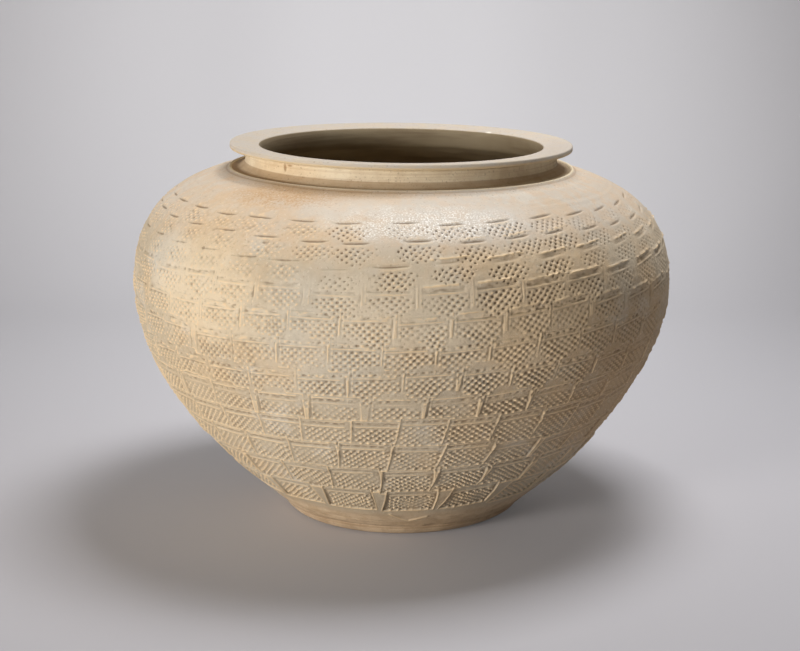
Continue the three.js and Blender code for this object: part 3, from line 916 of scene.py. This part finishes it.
def rounded(points, radii, steps=ROUNDING_STEPS):
    """A line with its corners rounded off by these radii."""
    points = [np.asarray(point, float) for point in points]
    line = [points[0]]
    for before, here, after, radius in zip(points, points[1:], points[2:], radii):
        back = (before - here) / np.hypot(*(before - here))
        onward = (after - here) / np.hypot(*(after - here))
        if radius == 0:
            line.append(here)
            continue
        line.extend(curve([here + back * radius, here, here + onward * radius], steps))
    line.append(points[-1])
    return np.array(line)


LINE_DEPTH = 1.2  # the incised line under the lip
LINE_RISE = 1.2
RIDGE_ROUNDING = (-0.75, 0.25)  # the highest point of the ridge, from its outer edge
LEDGE_MIDDLE = 0.48  # where the ledge is hollowest, as a share of its width
LEDGE_HOLLOW = 0.1
NECK_FLARE = (0.3, 0.6)
NECK_WAIST = 0.5
COLLAR_ROUNDINGS = (0.3, 0.6, 2.5, 2.0, 2.0, 0.4)
THROAT_EASING = (0.2, 5)  # out and down from the mouth's edge
SKIRT_WAVES = 0.3  # the hand marks that reach the ridge, as a share
RIDGE_LIFT = 0.5
RIDGE_REACH = 1.6
LEDGE_REACH = 1.2
# Painted on the neck: grime and painted shade on the ledge under the lip, a pale worn look and painted
# highlight on the ridge, and a painted shadow just under the ridge
LEDGE_GRIME_AND_SHADE = 0.62
RIDGE_WEAR_AND_HIGHLIGHT = 1.0
SHADOW_UNDER_RIDGE = (2.6, 1.1, 0.6)  # how far below it, half width and strength


def collar(material):
    """The neck with its hollow ledge and the thin ridge that parts it from the shoulder."""
    rows = np.arange(FIRST_ROWS[-2], FIRST_ROWS[-1] + 1)
    skirt = WALL[rows].copy()
    crest = skirt[-1, :2]
    ledge = RIDGE_HEIGHT - RIDGE_DEPTH
    outside = rounded(
        [
            crest,
            crest + RIDGE_ROUNDING,
            crest + (-RIDGE_WIDTH, -RIDGE_DEPTH),
            (NECK_RADIUS + LEDGE_WIDTH * LEDGE_MIDDLE, ledge - LEDGE_HOLLOW),
            (NECK_RADIUS + NECK_FLARE[0], NECK_FOOT_HEIGHT + NECK_FLARE[1]),
            (NECK_RADIUS - NECK_WAIST, (NECK_FOOT_HEIGHT + RIM_SEAM) / 2),
            (NECK_RADIUS, RIM_SEAM - LINE_RISE),
            (NECK_RADIUS - LINE_DEPTH, RIM_SEAM),
        ],
        COLLAR_ROUNDINGS,
    )[1:]
    seam_climb = at_level(INSIDE, INSIDE_CLIMB, COLLAR_SEAM)
    inner_climbs = np.linspace(INSIDE_CLIMB[-1], seam_climb, INNER_STEPS_IN_COLLAR)
    inner = lining(inner_climbs)
    eased_edge = (MOUTH_RADIUS + THROAT_EASING[0], RIM_SEAM - THROAT_EASING[1])
    throat = curve([(MOUTH_RADIUS, RIM_SEAM), eased_edge, inner[0, :2]], THROAT_STEPS)[:-1]
    section = np.vstack([skirt, plain(outside), plain(throat), inner])

    ridge_row = len(rows) - 1
    seam_row = len(rows) + len(outside) - 1
    number = np.arange(len(section))
    outer = (number > ridge_row) & (number < seam_row)
    on_ridge = outer & (section[:, 0] > crest[0] - RIDGE_REACH)
    on_ledge = outer & (section[:, 1] < NECK_FOOT_HEIGHT + LEDGE_REACH) & ~on_ridge
    on_skirt = slice(0, len(rows))

    heights = np.zeros((len(section), TURNED_COLUMNS))
    skirt_share = np.linspace(1, SKIRT_WAVES, len(rows))[:, None]
    heights[on_skirt] = WALL_HEIGHTS[rows][:, EACH_TURNED_COLUMN] * skirt_share
    inner_share = np.linspace(0, 1, len(inner))[:, None]
    heights[-len(inner):] = inside_heights(TURN[EACH_TURNED_COLUMN], inner_climbs) * inner_share
    heights[on_ridge] += RIDGE_LIFT
    heights[ridge_row] += RIDGE_LIFT

    # These hollows are painted: grime and painted shade on the ledge, a painted shadow under the ridge,
    # and a painted highlight with a worn look on its crest
    hollows = np.zeros_like(heights)
    hollows[on_ledge] = LEDGE_GRIME_AND_SHADE
    hollows[on_ridge] = -RIDGE_WEAR_AND_HIGHLIGHT
    below, half, darkening = SHADOW_UNDER_RIDGE
    hollows[on_skirt] = darkening * mound(CLIMB[rows] - CLIMB[-1] + below, half)[:, None]
    hollows[ridge_row] = -RIDGE_WEAR_AND_HIGHLIGHT

    piece = drawn_section("neck_with_ridge", section, closed=True)
    turned(piece, TURNED_COLUMNS)
    inside = (number > seam_row).astype(float)
    shoulder = (number < ridge_row).astype(float)
    corners = (0, seam_row, seam_row + 1, len(section) - 1)
    shaped(piece, section, heights, hollows, inside, corners, shoulder)
    finished(piece, "neck_collar", material)


LIP_START = (0.4, 0.9)  # out and up from the neck
RIM_DISH = 0.3
RIM_ROUNDINGS = (0.6, 1.3, 1.5, 6.0, 1.2)
DUST_DEPTHS = (0.5, 1.6)  # how far below the mouth's edge the dust begins, and is whole
DUST_REACH = 0.6


def rim(material):
    """The flat flanged rim with its softened edges."""
    mouth = RIM_HEIGHT - RIM_TILT
    line = rounded(
        [
            (NECK_RADIUS - LINE_DEPTH, RIM_SEAM),
            (NECK_RADIUS + LIP_START[0], RIM_SEAM + LIP_START[1]),
            (RIM_RADIUS, RIM_HEIGHT - LIP_EDGE),
            (RIM_RADIUS, RIM_HEIGHT),
            ((RIM_RADIUS + MOUTH_RADIUS) / 2, (RIM_HEIGHT + mouth) / 2 - RIM_DISH),
            (MOUTH_RADIUS, mouth),
            (MOUTH_RADIUS, RIM_SEAM),
        ],
        RIM_ROUNDINGS,
        RIM_ROUNDING_STEPS,
    )
    section = plain(line)
    heights = np.zeros((len(section), TURNED_COLUMNS))
    piece = drawn_section("flanged_rim", section, closed=True)
    turned(piece, TURNED_COLUMNS)
    dusty = ramp(section[:, 1], mouth - DUST_DEPTHS[0], mouth - DUST_DEPTHS[1])
    inside = dusty * (section[:, 0] < MOUTH_RADIUS + DUST_REACH)
    shaped(piece, section, heights, np.zeros_like(heights), inside, (0, len(section) - 1))
    finished(piece, "rim_flange", material)


# Materials

# Colours as they are seen, from 0 to 255
BODY_LOW = ((192, 176, 151), (200, 185, 161))
BODY_HIGH = ((203, 192, 177), (203, 188, 169))
FOOT_TAN = (216, 192, 160)
FOOT_BROWN = (202, 176, 142)
FOOT_GRIME = (140, 108, 78)
RIM_CREAM = (228, 216, 190)
RIM_WARM = (228, 212, 182)
RIM_GRIME = (192, 168, 136)
RIM_EDGE = (206, 184, 148)
RIM_TOP = (199, 189, 176)
# The near white of the ash grains is a painted glint
ASH_WITH_PAINTED_GLINT = (240, 236, 228)
DUST = ((160, 142, 114), (178, 162, 134))
PAPER = (196, 195, 200)

# Tints that lie over another colour, each with its strength
WARM_CLOUDS = ((208, 178, 138), 0.4)
ASH_CLOUDS = ((214, 207, 194), 0.4)
ROSY_MOTTLE = ((214, 180, 140), 0.35)
RUST = ((184, 138, 92), 0.45)
DARK_FLECKS = ((150, 122, 92), 0.35)
PALE_FLECKS = ((232, 222, 204), 0.3)
TURNED_FLECKS = ((130, 102, 72), 0.4)
WIPED_DUST = ((124, 104, 78), 0.5)
# On the body: grime and painted shade in the pattern's hollows, then a pale worn look and painted
# highlight on its raised places
BODY_DIRT_AND_SHADE = ((112, 88, 60), 0.55)
BODY_WEAR_AND_HIGHLIGHT = ((236, 208, 166), 0.8)
# On the neck: grime and painted shade on the ledge and painted shadow under the ridge, then a worn look
# and painted highlight on the ridge
TURNED_DIRT_AND_SHADE = ((146, 108, 66), 0.62)
TURNED_WEAR_AND_HIGHLIGHT = ((244, 230, 200), 0.9)
RING_GRIME = 0.5
MOTTLE_GRIME = 0.3

# Chance patches: how fine, detail, roughness, and the noise that counts as none and as all of it
CLOUD_PATCHES = (14, 3, 0.55, 0.35, 0.65)
MOTTLE_PATCHES = (95, 4, 0.6, 0.42, 0.62)
FLECK_PATCHES = (620, 2, 0.5, 0.62, 0.72)
PALE_FLECK_PATCHES = (480, 2, 0.5, 0.6, 0.7)
PALE_FLECK_DISTORTION = 0.3
WARM_PATCHES = (19, 3, 0.55, 0.5, 0.66)
ASHY_PATCHES = (27, 3, 0.6, 0.56, 0.68)
WIPED_PATCHES = (9, 3, 0.6, 0.42, 0.62)
RUST_GRAINS = (540, 2, 0.5, 0.48, 0.6)
GLITTER_GRAINS = (820, 2, 0.5, 0.5, 0.62)
TOOTH = (900, 3, 0.65)
RINGS = (2.2, 3, 0.6)
RAGGED_EDGE = (60, 4, 0.6)
RINGS_SHOWN = (0.46, 0.68)
ASHY_STRETCH = (1, 1, 1.3)
WIPED_STRETCH = (1, 1, 9)
GRAIN_STRETCH = (1, 1, 1.6)
RING_STRETCH = (3, 3, 260)

# How torn the edge of a patch is
BODY_RAGGED = 0.8
GRAINS_RAGGED = 0.9
RIM_RAGGED = 0.5
PATCH_EDGE = (1.0, 0.35)  # where a patch begins and is whole, as shares of its reach

# Where the hollows begin to darken, with grime and painted shade, and where they are dark in full, and the
# same for the lightening of raised edges, worn pale and given a painted highlight
DARKENED_HOLLOW = (0.05, 0.9)
LIGHTENED_EDGE = (-0.1, -0.8)

# Heights in metres at which a look begins and is complete
BODY_TURNS_ASHY = (0.235, 0.262)
MOTTLE_HEIGHTS = (0.2, 0.27)
FOOT_HEIGHTS = (0.034, 0.022)
BAND_PATCHINESS = (1.0, 0.7)

TOOTH_RANGE = (0.2, 0.8)
TOOTH_HEIGHT = 0.0006
TOOTH_STRENGTH = 0.45
BODY_ROUGHNESS = (0.62, 0.85)
TURNED_ROUGHNESS = (0.6, 0.82)
GLITTER_GLOSS = 0.4
CLAY_SPECULAR = 0.35
PAPER_ROUGHNESS = 0.95
PAPER_SPECULAR = 0.1


def linear(red, green, blue):
    """A colour written as it is seen, from 0 to 255, for a shader."""
    seen = np.array([red, green, blue]) / 255
    low = seen / 12.92
    high = ((seen + 0.055) / 1.055) ** 2.4
    return (*np.where(seen <= 0.04045, low, high), 1.0)


def new_material(name):
    material = bpy.data.materials.new(name)
    material.use_nodes = True
    nodes = material.node_tree.nodes
    nodes.clear()
    output = nodes.new("ShaderNodeOutputMaterial")
    shader = nodes.new("ShaderNodeBsdfPrincipled")
    material.node_tree.links.new(shader.outputs["BSDF"], output.inputs["Surface"])
    return material, shader


def link(tree, source, target):
    """Feeds a socket from another socket, or sets it to a plain value."""
    if isinstance(source, bpy.types.NodeSocket):
        tree.links.new(source, target)
    else:
        target.default_value = source


def noise(tree, vector, scale, detail=2.0, roughness=0.5, distortion=0.0):
    node = tree.nodes.new("ShaderNodeTexNoise")
    link(tree, vector, node.inputs["Vector"])
    node.inputs["Scale"].default_value = scale
    node.inputs["Detail"].default_value = detail
    node.inputs["Roughness"].default_value = roughness
    node.inputs["Distortion"].default_value = distortion
    return node.outputs["Fac"]


def remap(tree, value, low, high, to_low=0.0, to_high=1.0):
    node = tree.nodes.new("ShaderNodeMapRange")
    node.interpolation_type = "SMOOTHSTEP"
    link(tree, value, node.inputs["Value"])
    node.inputs["From Min"].default_value = low
    node.inputs["From Max"].default_value = high
    node.inputs["To Min"].default_value = to_low
    node.inputs["To Max"].default_value = to_high
    return node.outputs["Result"]


def combined(tree, operation, first, second):
    """Two values worked into one by a plain sum, such as MULTIPLY."""
    node = tree.nodes.new("ShaderNodeMath")
    node.operation = operation
    link(tree, first, node.inputs[0])
    link(tree, second, node.inputs[1])
    return node.outputs["Value"]


def mixed(tree, share, first, second, blend="MIX"):
    node = tree.nodes.new("ShaderNodeMix")
    node.data_type = "RGBA"
    node.blend_type = blend
    link(tree, share, node.inputs["Factor"])
    first_colour, second_colour = [socket for socket in node.inputs if socket.type == "RGBA"]
    link(tree, first, first_colour)
    link(tree, second, second_colour)
    return next(socket for socket in node.outputs if socket.type == "RGBA")


def vector_math(tree, operation, first, second):
    node = tree.nodes.new("ShaderNodeVectorMath")
    node.operation = operation
    link(tree, first, node.inputs[0])
    link(tree, second, node.inputs[1])
    return node.outputs


def patches(tree, place, fineness, detail, roughness, none, whole, distortion=0.0):
    return remap(tree, noise(tree, place, fineness, detail, roughness, distortion), none, whole)


def tinted(tree, colour, mask, tint, strength):
    """The colour with a tint laid over it where the mask is, at most this strongly."""
    share = combined(tree, "MULTIPLY", mask, strength)
    return mixed(tree, share, colour, linear(*tint))


def stretched(tree, vector, scale):
    node = tree.nodes.new("ShaderNodeMapping")
    link(tree, vector, node.inputs["Vector"])
    node.inputs["Scale"].default_value = scale
    return node.outputs["Vector"]


def attribute_value(tree, name):
    attribute = tree.nodes.new("ShaderNodeAttribute")
    attribute.attribute_name = name
    return attribute.outputs["Fac"]


def object_place(tree):
    return tree.nodes.new("ShaderNodeTexCoord").outputs["Object"]


def new_group(name, inputs, outputs):
    tree = bpy.data.node_groups.new(name, "ShaderNodeTree")
    for socket, kind in inputs:
        tree.interface.new_socket(socket, in_out="INPUT", socket_type=kind)
    for socket, kind in outputs:
        tree.interface.new_socket(socket, in_out="OUTPUT", socket_type=kind)
    return tree, tree.nodes.new("NodeGroupInput").outputs, tree.nodes.new("NodeGroupOutput").inputs


def placed(tree, group, **values):
    node = tree.nodes.new("ShaderNodeGroup")
    node.node_tree = group
    for socket, value in values.items():
        link(tree, value, node.inputs[socket])
    return node.outputs


COLOUR, VALUE, VECTOR = "NodeSocketColor", "NodeSocketFloat", "NodeSocketVector"


def clay_grain_group():
    """Fired clay seen close: soft clouds, mottling, dark and pale flecks, and a fine tooth."""
    tree, given, put = new_group(
        "clay_grain",
        [("Place", VECTOR)],
        [("Cloud", VALUE), ("Mottle", VALUE), ("Flecks", VALUE), ("Pale_Flecks", VALUE), ("Tooth", VALUE)],
    )
    place = given["Place"]
    link(tree, patches(tree, place, *CLOUD_PATCHES), put["Cloud"])
    link(tree, patches(tree, place, *MOTTLE_PATCHES), put["Mottle"])
    link(tree, patches(tree, place, *FLECK_PATCHES), put["Flecks"])
    link(tree, patches(tree, place, *PALE_FLECK_PATCHES, PALE_FLECK_DISTORTION), put["Pale_Flecks"])
    link(tree, noise(tree, place, *TOOTH), put["Tooth"])
    return tree


def relief_grime_and_shading_group():
    """Grime and painted shade in the hollows of the pattern, and pale worn spots with a painted highlight
    on its high spots.
    """
    tree, given, put = new_group(
        "relief_grime_and_shading",
        [
            ("Colour", COLOUR),
            ("Hollow_Colour", COLOUR),
            ("Worn_Colour", COLOUR),
            ("Hollow_Share", VALUE),
            ("Worn_Share", VALUE),
        ],
        [("Colour", COLOUR)],
    )
    depth = attribute_value(tree, "hollow")
    darkening = combined(tree, "MULTIPLY", remap(tree, depth, *DARKENED_HOLLOW), given["Hollow_Share"])
    lightening = combined(tree, "MULTIPLY", remap(tree, depth, *LIGHTENED_EDGE), given["Worn_Share"])
    dirty = mixed(tree, darkening, given["Colour"], given["Hollow_Colour"])
    link(tree, mixed(tree, lightening, dirty, given["Worn_Colour"]), put["Colour"])
    return tree


def soft_patch_group():
    """A patch with a ragged edge, as a mask, round a centre and inside a reach on each axis: a stain, a
    painted shade or highlight, or a painted pool of light.
    """
    tree, given, put = new_group(
        "soft_patch",
        [("Place", VECTOR), ("Centre", VECTOR), ("Reach", VECTOR), ("Ragged", VALUE)],
        [("Mask", VALUE)],
    )
    away = vector_math(tree, "SUBTRACT", given["Place"], given["Centre"])["Vector"]
    scaled = vector_math(tree, "DIVIDE", away, given["Reach"])["Vector"]
    length = tree.nodes.new("ShaderNodeVectorMath")
    length.operation = "LENGTH"
    link(tree, scaled, length.inputs[0])
    raggedness = combined(tree, "SUBTRACT", noise(tree, given["Place"], *RAGGED_EDGE), 0.5)
    torn = combined(tree, "MULTIPLY", raggedness, given["Ragged"])
    reach = combined(tree, "ADD", length.outputs["Value"], torn)
    link(tree, remap(tree, reach, *PATCH_EDGE), put["Mask"])
    return tree


CLAY_GRAIN = clay_grain_group()
RELIEF_GRIME_AND_SHADING = relief_grime_and_shading_group()
SOFT_PATCH = soft_patch_group()


def bumped(tree, shader, height, distance, strength):
    node = tree.nodes.new("ShaderNodeBump")
    node.inputs["Distance"].default_value = distance
    node.inputs["Strength"].default_value = strength
    link(tree, height, node.inputs["Height"])
    link(tree, node.outputs["Normal"], shader.inputs["Normal"])


def height_mask(tree, place, low, high):
    parts = tree.nodes.new("ShaderNodeSeparateXYZ")
    link(tree, place, parts.inputs["Vector"])
    return remap(tree, parts.outputs["Z"], low, high)


def patch_mask(tree, place, centre, reach, ragged):
    return placed(tree, SOFT_PATCH, Place=place, Centre=centre, Reach=reach, Ragged=ragged)["Mask"]


def shaded_and_worn(tree, colour, darkening, lightening):
    """The colour with grime and painted shade in the hollows, and pale worn spots with a painted highlight
    on the edges, each a tint and its strength.
    """
    return placed(
        tree,
        RELIEF_GRIME_AND_SHADING,
        Colour=colour,
        Hollow_Colour=linear(*darkening[0]),
        Worn_Colour=linear(*lightening[0]),
        Hollow_Share=darkening[1],
        Worn_Share=lightening[1],
    )["Colour"]


def darkened_inside(tree, colour, grain):
    """The inside has stood in the dark and the dust: greyer, browner and unworn."""
    dusty = mixed(tree, grain["Cloud"], linear(*DUST[0]), linear(*DUST[1]))
    wiped = patches(tree, stretched(tree, object_place(tree), WIPED_STRETCH), *WIPED_PATCHES)
    dusty = tinted(tree, dusty, wiped, *WIPED_DUST)
    return mixed(tree, attribute_value(tree, "inside"), colour, dusty)


# Stains on the body, with painted shade and painted highlight among them: centre, reach along each axis,
# colour, share
BODY_STAINS_AND_PAINTED_LIGHT = (
    ((-0.14, -0.12, 0.255), (0.10, 0.10, 0.03), (206, 176, 136), 0.35),
    # Pale ash on the front of the shoulder, partly a painted sheen
    ((0.04, -0.16, 0.262), (0.11, 0.07, 0.022), (216, 211, 203), 0.4),
    # Brown tone under the ridge on the left, partly a stain and partly painted shade
    ((-0.06, -0.125, 0.279), (0.10, 0.05, 0.012), (190, 158, 118), 0.65),
    ((-0.05, -0.20, 0.19), (0.06, 0.06, 0.07), (206, 198, 182), 0.55),
    ((-0.16, -0.12, 0.12), (0.08, 0.09, 0.07), (202, 178, 142), 0.45),
    ((0.10, -0.17, 0.195), (0.09, 0.08, 0.07), (230, 202, 162), 0.75),
    # Painted shade on the jar's right side, partly browner clay
    ((0.17, -0.11, 0.125), (0.11, 0.13, 0.11), (184, 150, 108), 0.65),
    ((-0.04, -0.15, 0.271), (0.05, 0.04, 0.01), (220, 213, 202), 0.35),
    ((-0.10, -0.115, 0.273), (0.06, 0.05, 0.010), (212, 184, 150), 0.2),
    ((-0.17, -0.11, 0.225), (0.04, 0.05, 0.03), (218, 212, 200), 0.5),
    ((0.07, -0.17, 0.12), (0.07, 0.07, 0.05), (196, 168, 130), 0.5),
    # Painted highlight on the left of the belly
    ((-0.14, -0.15, 0.208), (0.08, 0.08, 0.05), (232, 212, 180), 0.65),
    ((0.0, -0.21, 0.208), (0.08, 0.08, 0.045), (222, 206, 180), 0.6),
)
# A dry glitter of wood ash that fell on the shoulder in the kiln, its grains glossier and painted near
# white as a glint: centre, reach
ASH_PLACE = ((0.022, -0.17, 0.262), (0.09, 0.05, 0.0145))
# Rusty grains under the ridge, on the left
RUST_PLACE = ((-0.082, -0.125, 0.275), (0.065, 0.05, 0.0095))


def grains_on(tree, place, centre, reach, grains):
    """Fine grains strewn over one place."""
    mask = patch_mask(tree, place, centre, reach, GRAINS_RAGGED)
    strewn = patches(tree, stretched(tree, place, GRAIN_STRETCH), *grains)
    return combined(tree, "MULTIPLY", mask, strewn)


def fired_colour(tree, place, grain):
    """The colour of the body before it is worn: warmer below, ashy on the shoulder, brown at the foot,
    with painted shade on the right and a painted highlight on the left belly among its stains.
    """
    low = mixed(tree, grain["Cloud"], linear(*BODY_LOW[0]), linear(*BODY_LOW[1]))
    high = mixed(tree, grain["Cloud"], linear(*BODY_HIGH[0]), linear(*BODY_HIGH[1]))
    colour = mixed(tree, height_mask(tree, place, *BODY_TURNS_ASHY), low, high)
    colour = tinted(tree, colour, patches(tree, place, *WARM_PATCHES), *WARM_CLOUDS)
    ashy = patches(tree, stretched(tree, place, ASHY_STRETCH), *ASHY_PATCHES)
    colour = tinted(tree, colour, ashy, *ASH_CLOUDS)
    mottle = combined(tree, "MULTIPLY", grain["Mottle"], height_mask(tree, place, *MOTTLE_HEIGHTS))
    colour = tinted(tree, colour, mottle, *ROSY_MOTTLE)
    for centre, reach, stain, share in BODY_STAINS_AND_PAINTED_LIGHT:
        colour = tinted(tree, colour, patch_mask(tree, place, centre, reach, BODY_RAGGED), stain, share)
    colour = tinted(tree, colour, grains_on(tree, place, *RUST_PLACE, RUST_GRAINS), *RUST)
    foot_tone = mixed(tree, grain["Mottle"], linear(*FOOT_TAN), linear(*FOOT_BROWN))
    colour = mixed(tree, height_mask(tree, place, *FOOT_HEIGHTS), colour, foot_tone)
    colour = tinted(tree, colour, grain["Flecks"], *DARK_FLECKS)
    return tinted(tree, colour, grain["Pale_Flecks"], *PALE_FLECKS)


def body_clay():
    """The fired body: ash with a painted glint, stains with some painted shade and highlight among them,
    grains, grime and painted shade in the pattern's pits, and a wiped inside.
    """
    material, shader = new_material("paddled_stoneware")
    tree = material.node_tree
    place = object_place(tree)
    grain = placed(tree, CLAY_GRAIN, Place=place)
    glitter = grains_on(tree, place, *ASH_PLACE, GLITTER_GRAINS)
    # Painted glint: the ash grains are painted near white
    colour = mixed(tree, glitter, fired_colour(tree, place, grain), linear(*ASH_WITH_PAINTED_GLINT))
    colour = shaded_and_worn(tree, colour, BODY_DIRT_AND_SHADE, BODY_WEAR_AND_HIGHLIGHT)
    link(tree, darkened_inside(tree, colour, grain), shader.inputs["Base Color"])
    rough = remap(tree, grain["Tooth"], *TOOTH_RANGE, *BODY_ROUGHNESS)
    glossy = combined(tree, "MULTIPLY", glitter, GLITTER_GLOSS)
    link(tree, combined(tree, "SUBTRACT", rough, glossy), shader.inputs["Roughness"])
    shader.inputs["Specular IOR Level"].default_value = CLAY_SPECULAR
    bumped(tree, shader, grain["Tooth"], TOOTH_HEIGHT, TOOTH_STRENGTH)
    return material


def turned_clay(name, ground, warm, grimy, bands=(), stains=()):
    """Clay with the faint rings of the wheel, and bands of another colour from some heights up."""
    material, shader = new_material(name)
    tree = material.node_tree
    place = object_place(tree)
    grain = placed(tree, CLAY_GRAIN, Place=place)
    colour = mixed(tree, grain["Cloud"], linear(*ground), linear(*warm))
    rings = noise(tree, stretched(tree, place, RING_STRETCH), *RINGS)
    colour = tinted(tree, colour, remap(tree, rings, *RINGS_SHOWN), grimy, RING_GRIME)
    colour = tinted(tree, colour, grain["Mottle"], grimy, MOTTLE_GRIME)
    level = vector_math(tree, "DOT_PRODUCT", place, (RIM_DROP_TO_RIGHT, 0, 1))["Value"]
    for height, soft, band in bands:
        patchy = remap(tree, grain["Mottle"], 0.0, 1.0, *BAND_PATCHINESS)
        mask = combined(tree, "MULTIPLY", remap(tree, level, height - soft, height + soft), patchy)
        colour = mixed(tree, mask, colour, linear(*band))
    for centre, reach, stain, share in stains:
        colour = tinted(tree, colour, patch_mask(tree, place, centre, reach, RIM_RAGGED), stain, share)
    colour = mixed(tree, attribute_value(tree, "shoulder"), colour, fired_colour(tree, place, grain))
    colour = shaded_and_worn(tree, colour, TURNED_DIRT_AND_SHADE, TURNED_WEAR_AND_HIGHLIGHT)
    colour = tinted(tree, colour, grain["Flecks"], *TURNED_FLECKS)
    link(tree, darkened_inside(tree, colour, grain), shader.inputs["Base Color"])
    rough = remap(tree, grain["Tooth"], *TOOTH_RANGE, *TURNED_ROUGHNESS)
    link(tree, rough, shader.inputs["Roughness"])
    shader.inputs["Specular IOR Level"].default_value = CLAY_SPECULAR
    bumped(tree, shader, combined(tree, "ADD", grain["Tooth"], rings), TOOTH_HEIGHT, TOOTH_STRENGTH)
    return material


# A firing crack on the neck, a drop of slag inside it, a pale crumb on the mouth's far edge,
# the warm left of the neck and the grey right of the rim: centre, reach, colour, share
RIM_STAINS = (
    ((-0.0875, -0.0895, 0.2915), (0.0016, 0.004, 0.004), (120, 78, 44), 0.8),
    ((-0.0835, -0.093, 0.2935), (0.003, 0.004, 0.0012), (140, 96, 58), 0.7),
    ((-0.0310, 0.1090, 0.2850), (0.002, 0.004, 0.0018), (40, 28, 18), 0.9),
    ((0.0740, 0.0870, 0.2985), (0.0045, 0.006, 0.003), (250, 244, 230), 0.9),
    ((-0.09, -0.09, 0.289), (0.06, 0.06, 0.010), (220, 184, 132), 0.3),
    ((0.12, -0.03, 0.3), (0.05, 0.09, 0.006), (184, 174, 164), 0.5),
)

# Where the lip's edge and the rim's top begin: height and softness in metres, colour
RIM_BANDS = (
    ((RIM_HEIGHT - LIP_EDGE - 0.6) * MM, 0.0006, RIM_EDGE),
    ((RIM_HEIGHT - RIM_TILT - 0.7) * MM, 0.0005, RIM_TOP),
)

body_material = body_clay()
foot_material = turned_clay("foot_stoneware", FOOT_TAN, FOOT_BROWN, FOOT_GRIME)
rim_material = turned_clay("rim_stoneware", RIM_CREAM, RIM_WARM, RIM_GRIME, RIM_BANDS, RIM_STAINS)

base(foot_material)
for number in range(len(COURSES)):
    wall_course(number, body_material)
collar(rim_material)
rim(rim_material)


# Studio

FLOOR_REACH = 4.0
BACKDROP_START = 1.6
BACKDROP_HEIGHT = 3.0
BACKDROP_ROUND = 0.9
BACKDROP_SEGMENTS = 24
EDGE_MARGIN = 0.01  # how near the far edge of the floor counts as on it


def studio_sweep():
    """A floor that turns up into a backdrop."""
    deselect_everything()
    bpy.ops.mesh.primitive_plane_add(size=2 * FLOOR_REACH, location=(0, BACKDROP_START - FLOOR_REACH, 0))
    sweep = bpy.context.object
    sweep.name = "studio_sweep"
    bpy.ops.object.transform_apply(location=True, rotation=True, scale=True)
    mesh = sweep.data
    bpy.ops.object.mode_set(mode="EDIT")
    bpy.ops.mesh.select_all(action="DESELECT")
    bpy.ops.object.mode_set(mode="OBJECT")
    far = BACKDROP_START - EDGE_MARGIN
    for edge in mesh.edges:
        edge.select = all(mesh.vertices[end].co.y > far for end in edge.vertices)
    bpy.ops.object.mode_set(mode="EDIT")
    bpy.context.tool_settings.mesh_select_mode = (False, True, False)
    bpy.ops.mesh.extrude_region_move(TRANSFORM_OT_translate={"value": (0, 0, BACKDROP_HEIGHT)})
    bpy.context.tool_settings.mesh_select_mode = (True, False, False)
    bpy.ops.object.mode_set(mode="OBJECT")
    bend = sweep.modifiers.new("bend", "BEVEL")
    bend.width = BACKDROP_ROUND
    bend.segments = BACKDROP_SEGMENTS
    bend.limit_method = "ANGLE"
    bpy.ops.object.modifier_apply(modifier="bend")
    bpy.ops.object.shade_smooth()
    mesh.materials.append(grey_paper())


# Painted pools of light on the backdrop, seen by the camera alone: centre, reach, brightness
GLOW_BLUE = 1.02
BACKDROP_GLOW = (
    ((-0.02, 1.4, 0.3), (0.88, 2.0, 0.9), 0.23),
    ((0.0, 1.4, 0.3), (0.3, 1.2, 0.6), 0.05),
)


def grey_paper():
    """Matt paper, with painted pools of light that the camera alone sees and that light nothing."""
    material, shader = new_material("grey_paper")
    tree = material.node_tree
    shader.inputs["Base Color"].default_value = linear(*PAPER)
    shader.inputs["Roughness"].default_value = PAPER_ROUGHNESS
    shader.inputs["Specular IOR Level"].default_value = PAPER_SPECULAR
    seen = tree.nodes.new("ShaderNodeLightPath").outputs["Is Camera Ray"]
    place = object_place(tree)
    glow = (0.0, 0.0, 0.0, 1.0)
    for centre, reach, brightness in BACKDROP_GLOW:
        share = combined(tree, "MULTIPLY", patch_mask(tree, place, centre, reach, 0.0), seen)
        glow = mixed(tree, share, glow, (brightness, brightness, brightness * GLOW_BLUE, 1.0), "ADD")
    link(tree, glow, shader.inputs["Emission Color"])
    shader.inputs["Emission Strength"].default_value = 1.0
    return material


SOFTBOXES = (
    dict(
        name="overhead_softbox",
        place=(0.24, 0.1, 1.25),
        target=(0.0, 0.0, 0.2),
        size=(0.5, 0.5),
        energy=11.2,
        colour=(1.0, 0.99, 0.99),
    ),
    dict(
        name="left_softbox",
        place=(-2.15, -2.0, 0.44),
        target=(0.0, 0.0, 0.15),
        size=(0.9, 0.7),
        energy=67,
        colour=(1.0, 0.965, 0.92),
    ),
)
AIR_COLOUR = (1.0, 0.96, 0.9, 1.0)
AIR_STRENGTH = 0.15


def softbox(name, place, target, size, energy, colour):
    """A lamp that faces its target."""
    deselect_everything()
    aim = np.asarray(target, float) - np.asarray(place, float)
    yaw = math.atan2(aim[1], aim[0]) - math.pi / 2
    pitch = math.atan2(math.hypot(aim[0], aim[1]), -aim[2])
    bpy.ops.object.light_add(type="AREA", location=place, rotation=(pitch, 0, yaw))
    lamp = bpy.context.object
    lamp.name = name
    lamp.data.shape = "RECTANGLE"
    lamp.data.size, lamp.data.size_y = size
    lamp.data.energy = energy
    lamp.data.color = colour


def soft_air():
    """The weak light that comes from everywhere."""
    world = bpy.data.worlds.new("studio_air")
    world.use_nodes = True
    background = world.node_tree.nodes["Background"].inputs
    background["Color"].default_value = AIR_COLOUR
    background["Strength"].default_value = AIR_STRENGTH
    bpy.context.scene.world = world


studio_sweep()
for softbox_facts in SOFTBOXES:
    softbox(**softbox_facts)
soft_air()

deselect_everything()
